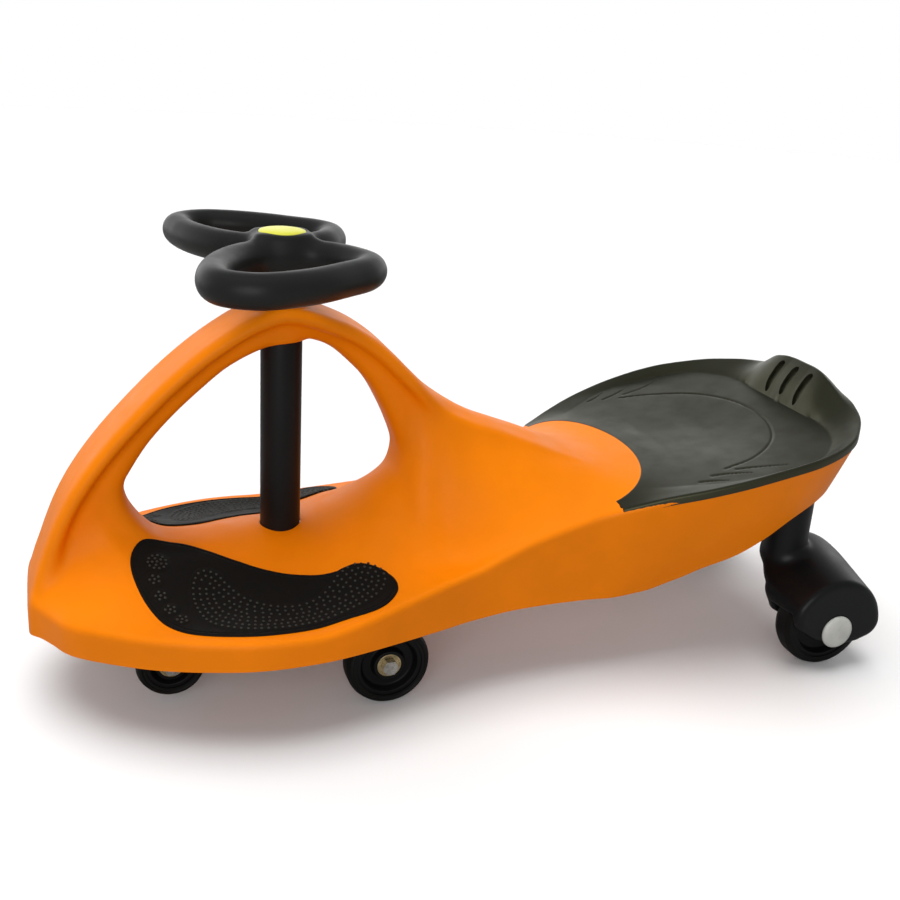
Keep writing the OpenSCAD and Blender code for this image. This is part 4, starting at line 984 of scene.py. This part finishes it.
ahead = np.array([math.sin(YAW) * math.cos(PITCH), -math.cos(YAW) * math.cos(PITCH),
                  -math.sin(PITCH)])
level = unit(np.cross(ahead, [0, 0, 1]))
drop = np.cross(ahead, level)
right = level * math.cos(ROLL) + drop * math.sin(ROLL)
down = -level * math.sin(ROLL) + drop * math.cos(ROLL)
camera = bpy.data.objects.new("camera", bpy.data.cameras.new("camera"))
camera.data.sensor_width = SENSOR
camera.data.lens = F_PX / IMAGE * SENSOR
camera.data.clip_start = 0.01
camera.matrix_world = placed(right, -down, -ahead, EYE)
bpy.context.scene.collection.objects.link(camera)
bpy.context.scene.camera = camera

# Light: a wide soft sun overhead and one large lamp at the front left, in metres and watts

SUN_STRENGTH, SUN_SPREAD, SUN_TILT = 2.25, 50, (4, 8, 0)
LAMP_AT, LAMP_TO = np.array([1.2, 2.6, 1.1]), np.array([0, 0, 0.15])
LAMP_SIZE, LAMP_WATTS = 2.0, 30

sun = bpy.data.lights.new("sky_panel", "SUN")
sun.energy = SUN_STRENGTH
sun.angle = math.radians(SUN_SPREAD)
sun_obj = bpy.data.objects.new("sky_panel", sun)
sun_obj.rotation_euler = [math.radians(t) for t in SUN_TILT]
sun_obj.visible_glossy = False
bpy.context.scene.collection.objects.link(sun_obj)

lamp = bpy.data.lights.new("front_left", "AREA")
lamp.shape = "DISK"
lamp.size = LAMP_SIZE
lamp.energy = LAMP_WATTS
lamp_obj = bpy.data.objects.new("front_left", lamp)
beam = unit(LAMP_TO - LAMP_AT)
across = unit(np.cross(beam, [0, 0, 1]))
lamp_obj.matrix_world = placed(across, np.cross(across, beam), -beam, LAMP_AT)
bpy.context.scene.collection.objects.link(lamp_obj)

# The room: dim all round, a bright panel low behind the car, and white where the camera sees it

DIM, BRIGHT = 0.3, 1.5
WHITE = (1, 1, 1, 1)
world = bpy.data.worlds.new("studio")
bpy.context.scene.world = world
world.use_nodes = True
room = world.node_tree
room.nodes.clear()


def room_node(kind, sockets):
    return plug(room, room.nodes.new(kind), sockets)


def room_range(value, **ends):
    ends = {key.replace("_", " "): end for key, end in ends.items()}
    return room_node("ShaderNodeMapRange", {"Value": value, **ends}).outputs["Result"]


place = room.nodes.new("ShaderNodeTexCoord").outputs["Generated"]
way = room_node("ShaderNodeSeparateXYZ", {"Vector": place})
behind = room_range(way.outputs["Y"], From_Min=-0.1, From_Max=-0.6)
low = room_range(way.outputs["Z"], From_Min=0.6, From_Max=0.3)
panel = room_node("ShaderNodeMath", {0: behind, 1: low})
panel.operation = "MULTIPLY"
glow = room_range(panel.outputs["Value"], To_Min=DIM, To_Max=BRIGHT)
soft = room_node("ShaderNodeBackground", {"Color": WHITE, "Strength": glow})
white = room_node("ShaderNodeBackground", {"Color": WHITE, "Strength": 1.0})
seen = room.nodes.new("ShaderNodeLightPath").outputs["Is Camera Ray"]
mix = room_node("ShaderNodeMixShader", {"Fac": seen, 1: soft.outputs["Background"],
                                        2: white.outputs["Background"]})
room_node("ShaderNodeOutputWorld", {"Surface": mix.outputs["Shader"]})

# The floor: a white disc to the camera, and grey to the light that it throws back

FLOOR_R, FLOOR_Z, FLOOR_SIDES = 6000, -0.4, 96
FLOOR_GREY, FLOOR_WHITE = (0.4, 0.4, 0.4, 1), (0.95, 0.95, 0.95, 1)

floor_look = Look("floor_white")
floor_seen = floor_look.node("ShaderNodeLightPath").outputs["Is Camera Ray"]
floor_colour = floor_look.ramp(floor_seen, [(0.0, FLOOR_GREY), (1.0, FLOOR_WHITE)])
floor_look.set(**{"Base Color": floor_colour, "Roughness": 0.9, "Specular IOR Level": 0.1})
k = np.arange(FLOOR_SIDES)
a = 2 * math.pi * k / FLOOR_SIDES
rim = np.stack([FLOOR_R * np.cos(a), FLOOR_R * np.sin(a), np.full(FLOOR_SIDES, FLOOR_Z)], 1)
ground = np.vstack([[(0, 0, FLOOR_Z)], rim])
fan = np.stack([np.zeros(FLOOR_SIDES, int), 1 + k, 1 + (k + 1) % FLOOR_SIDES], 1)
data = bpy.data.meshes.new("floor")
data.from_pydata((ground / 1000).tolist(), [], fan.tolist())
data.materials.append(floor_look.material)
floor_obj = bpy.data.objects.new("floor", data)
bpy.context.scene.collection.objects.link(floor_obj)

bpy.context.scene.view_settings.view_transform = "Standard"
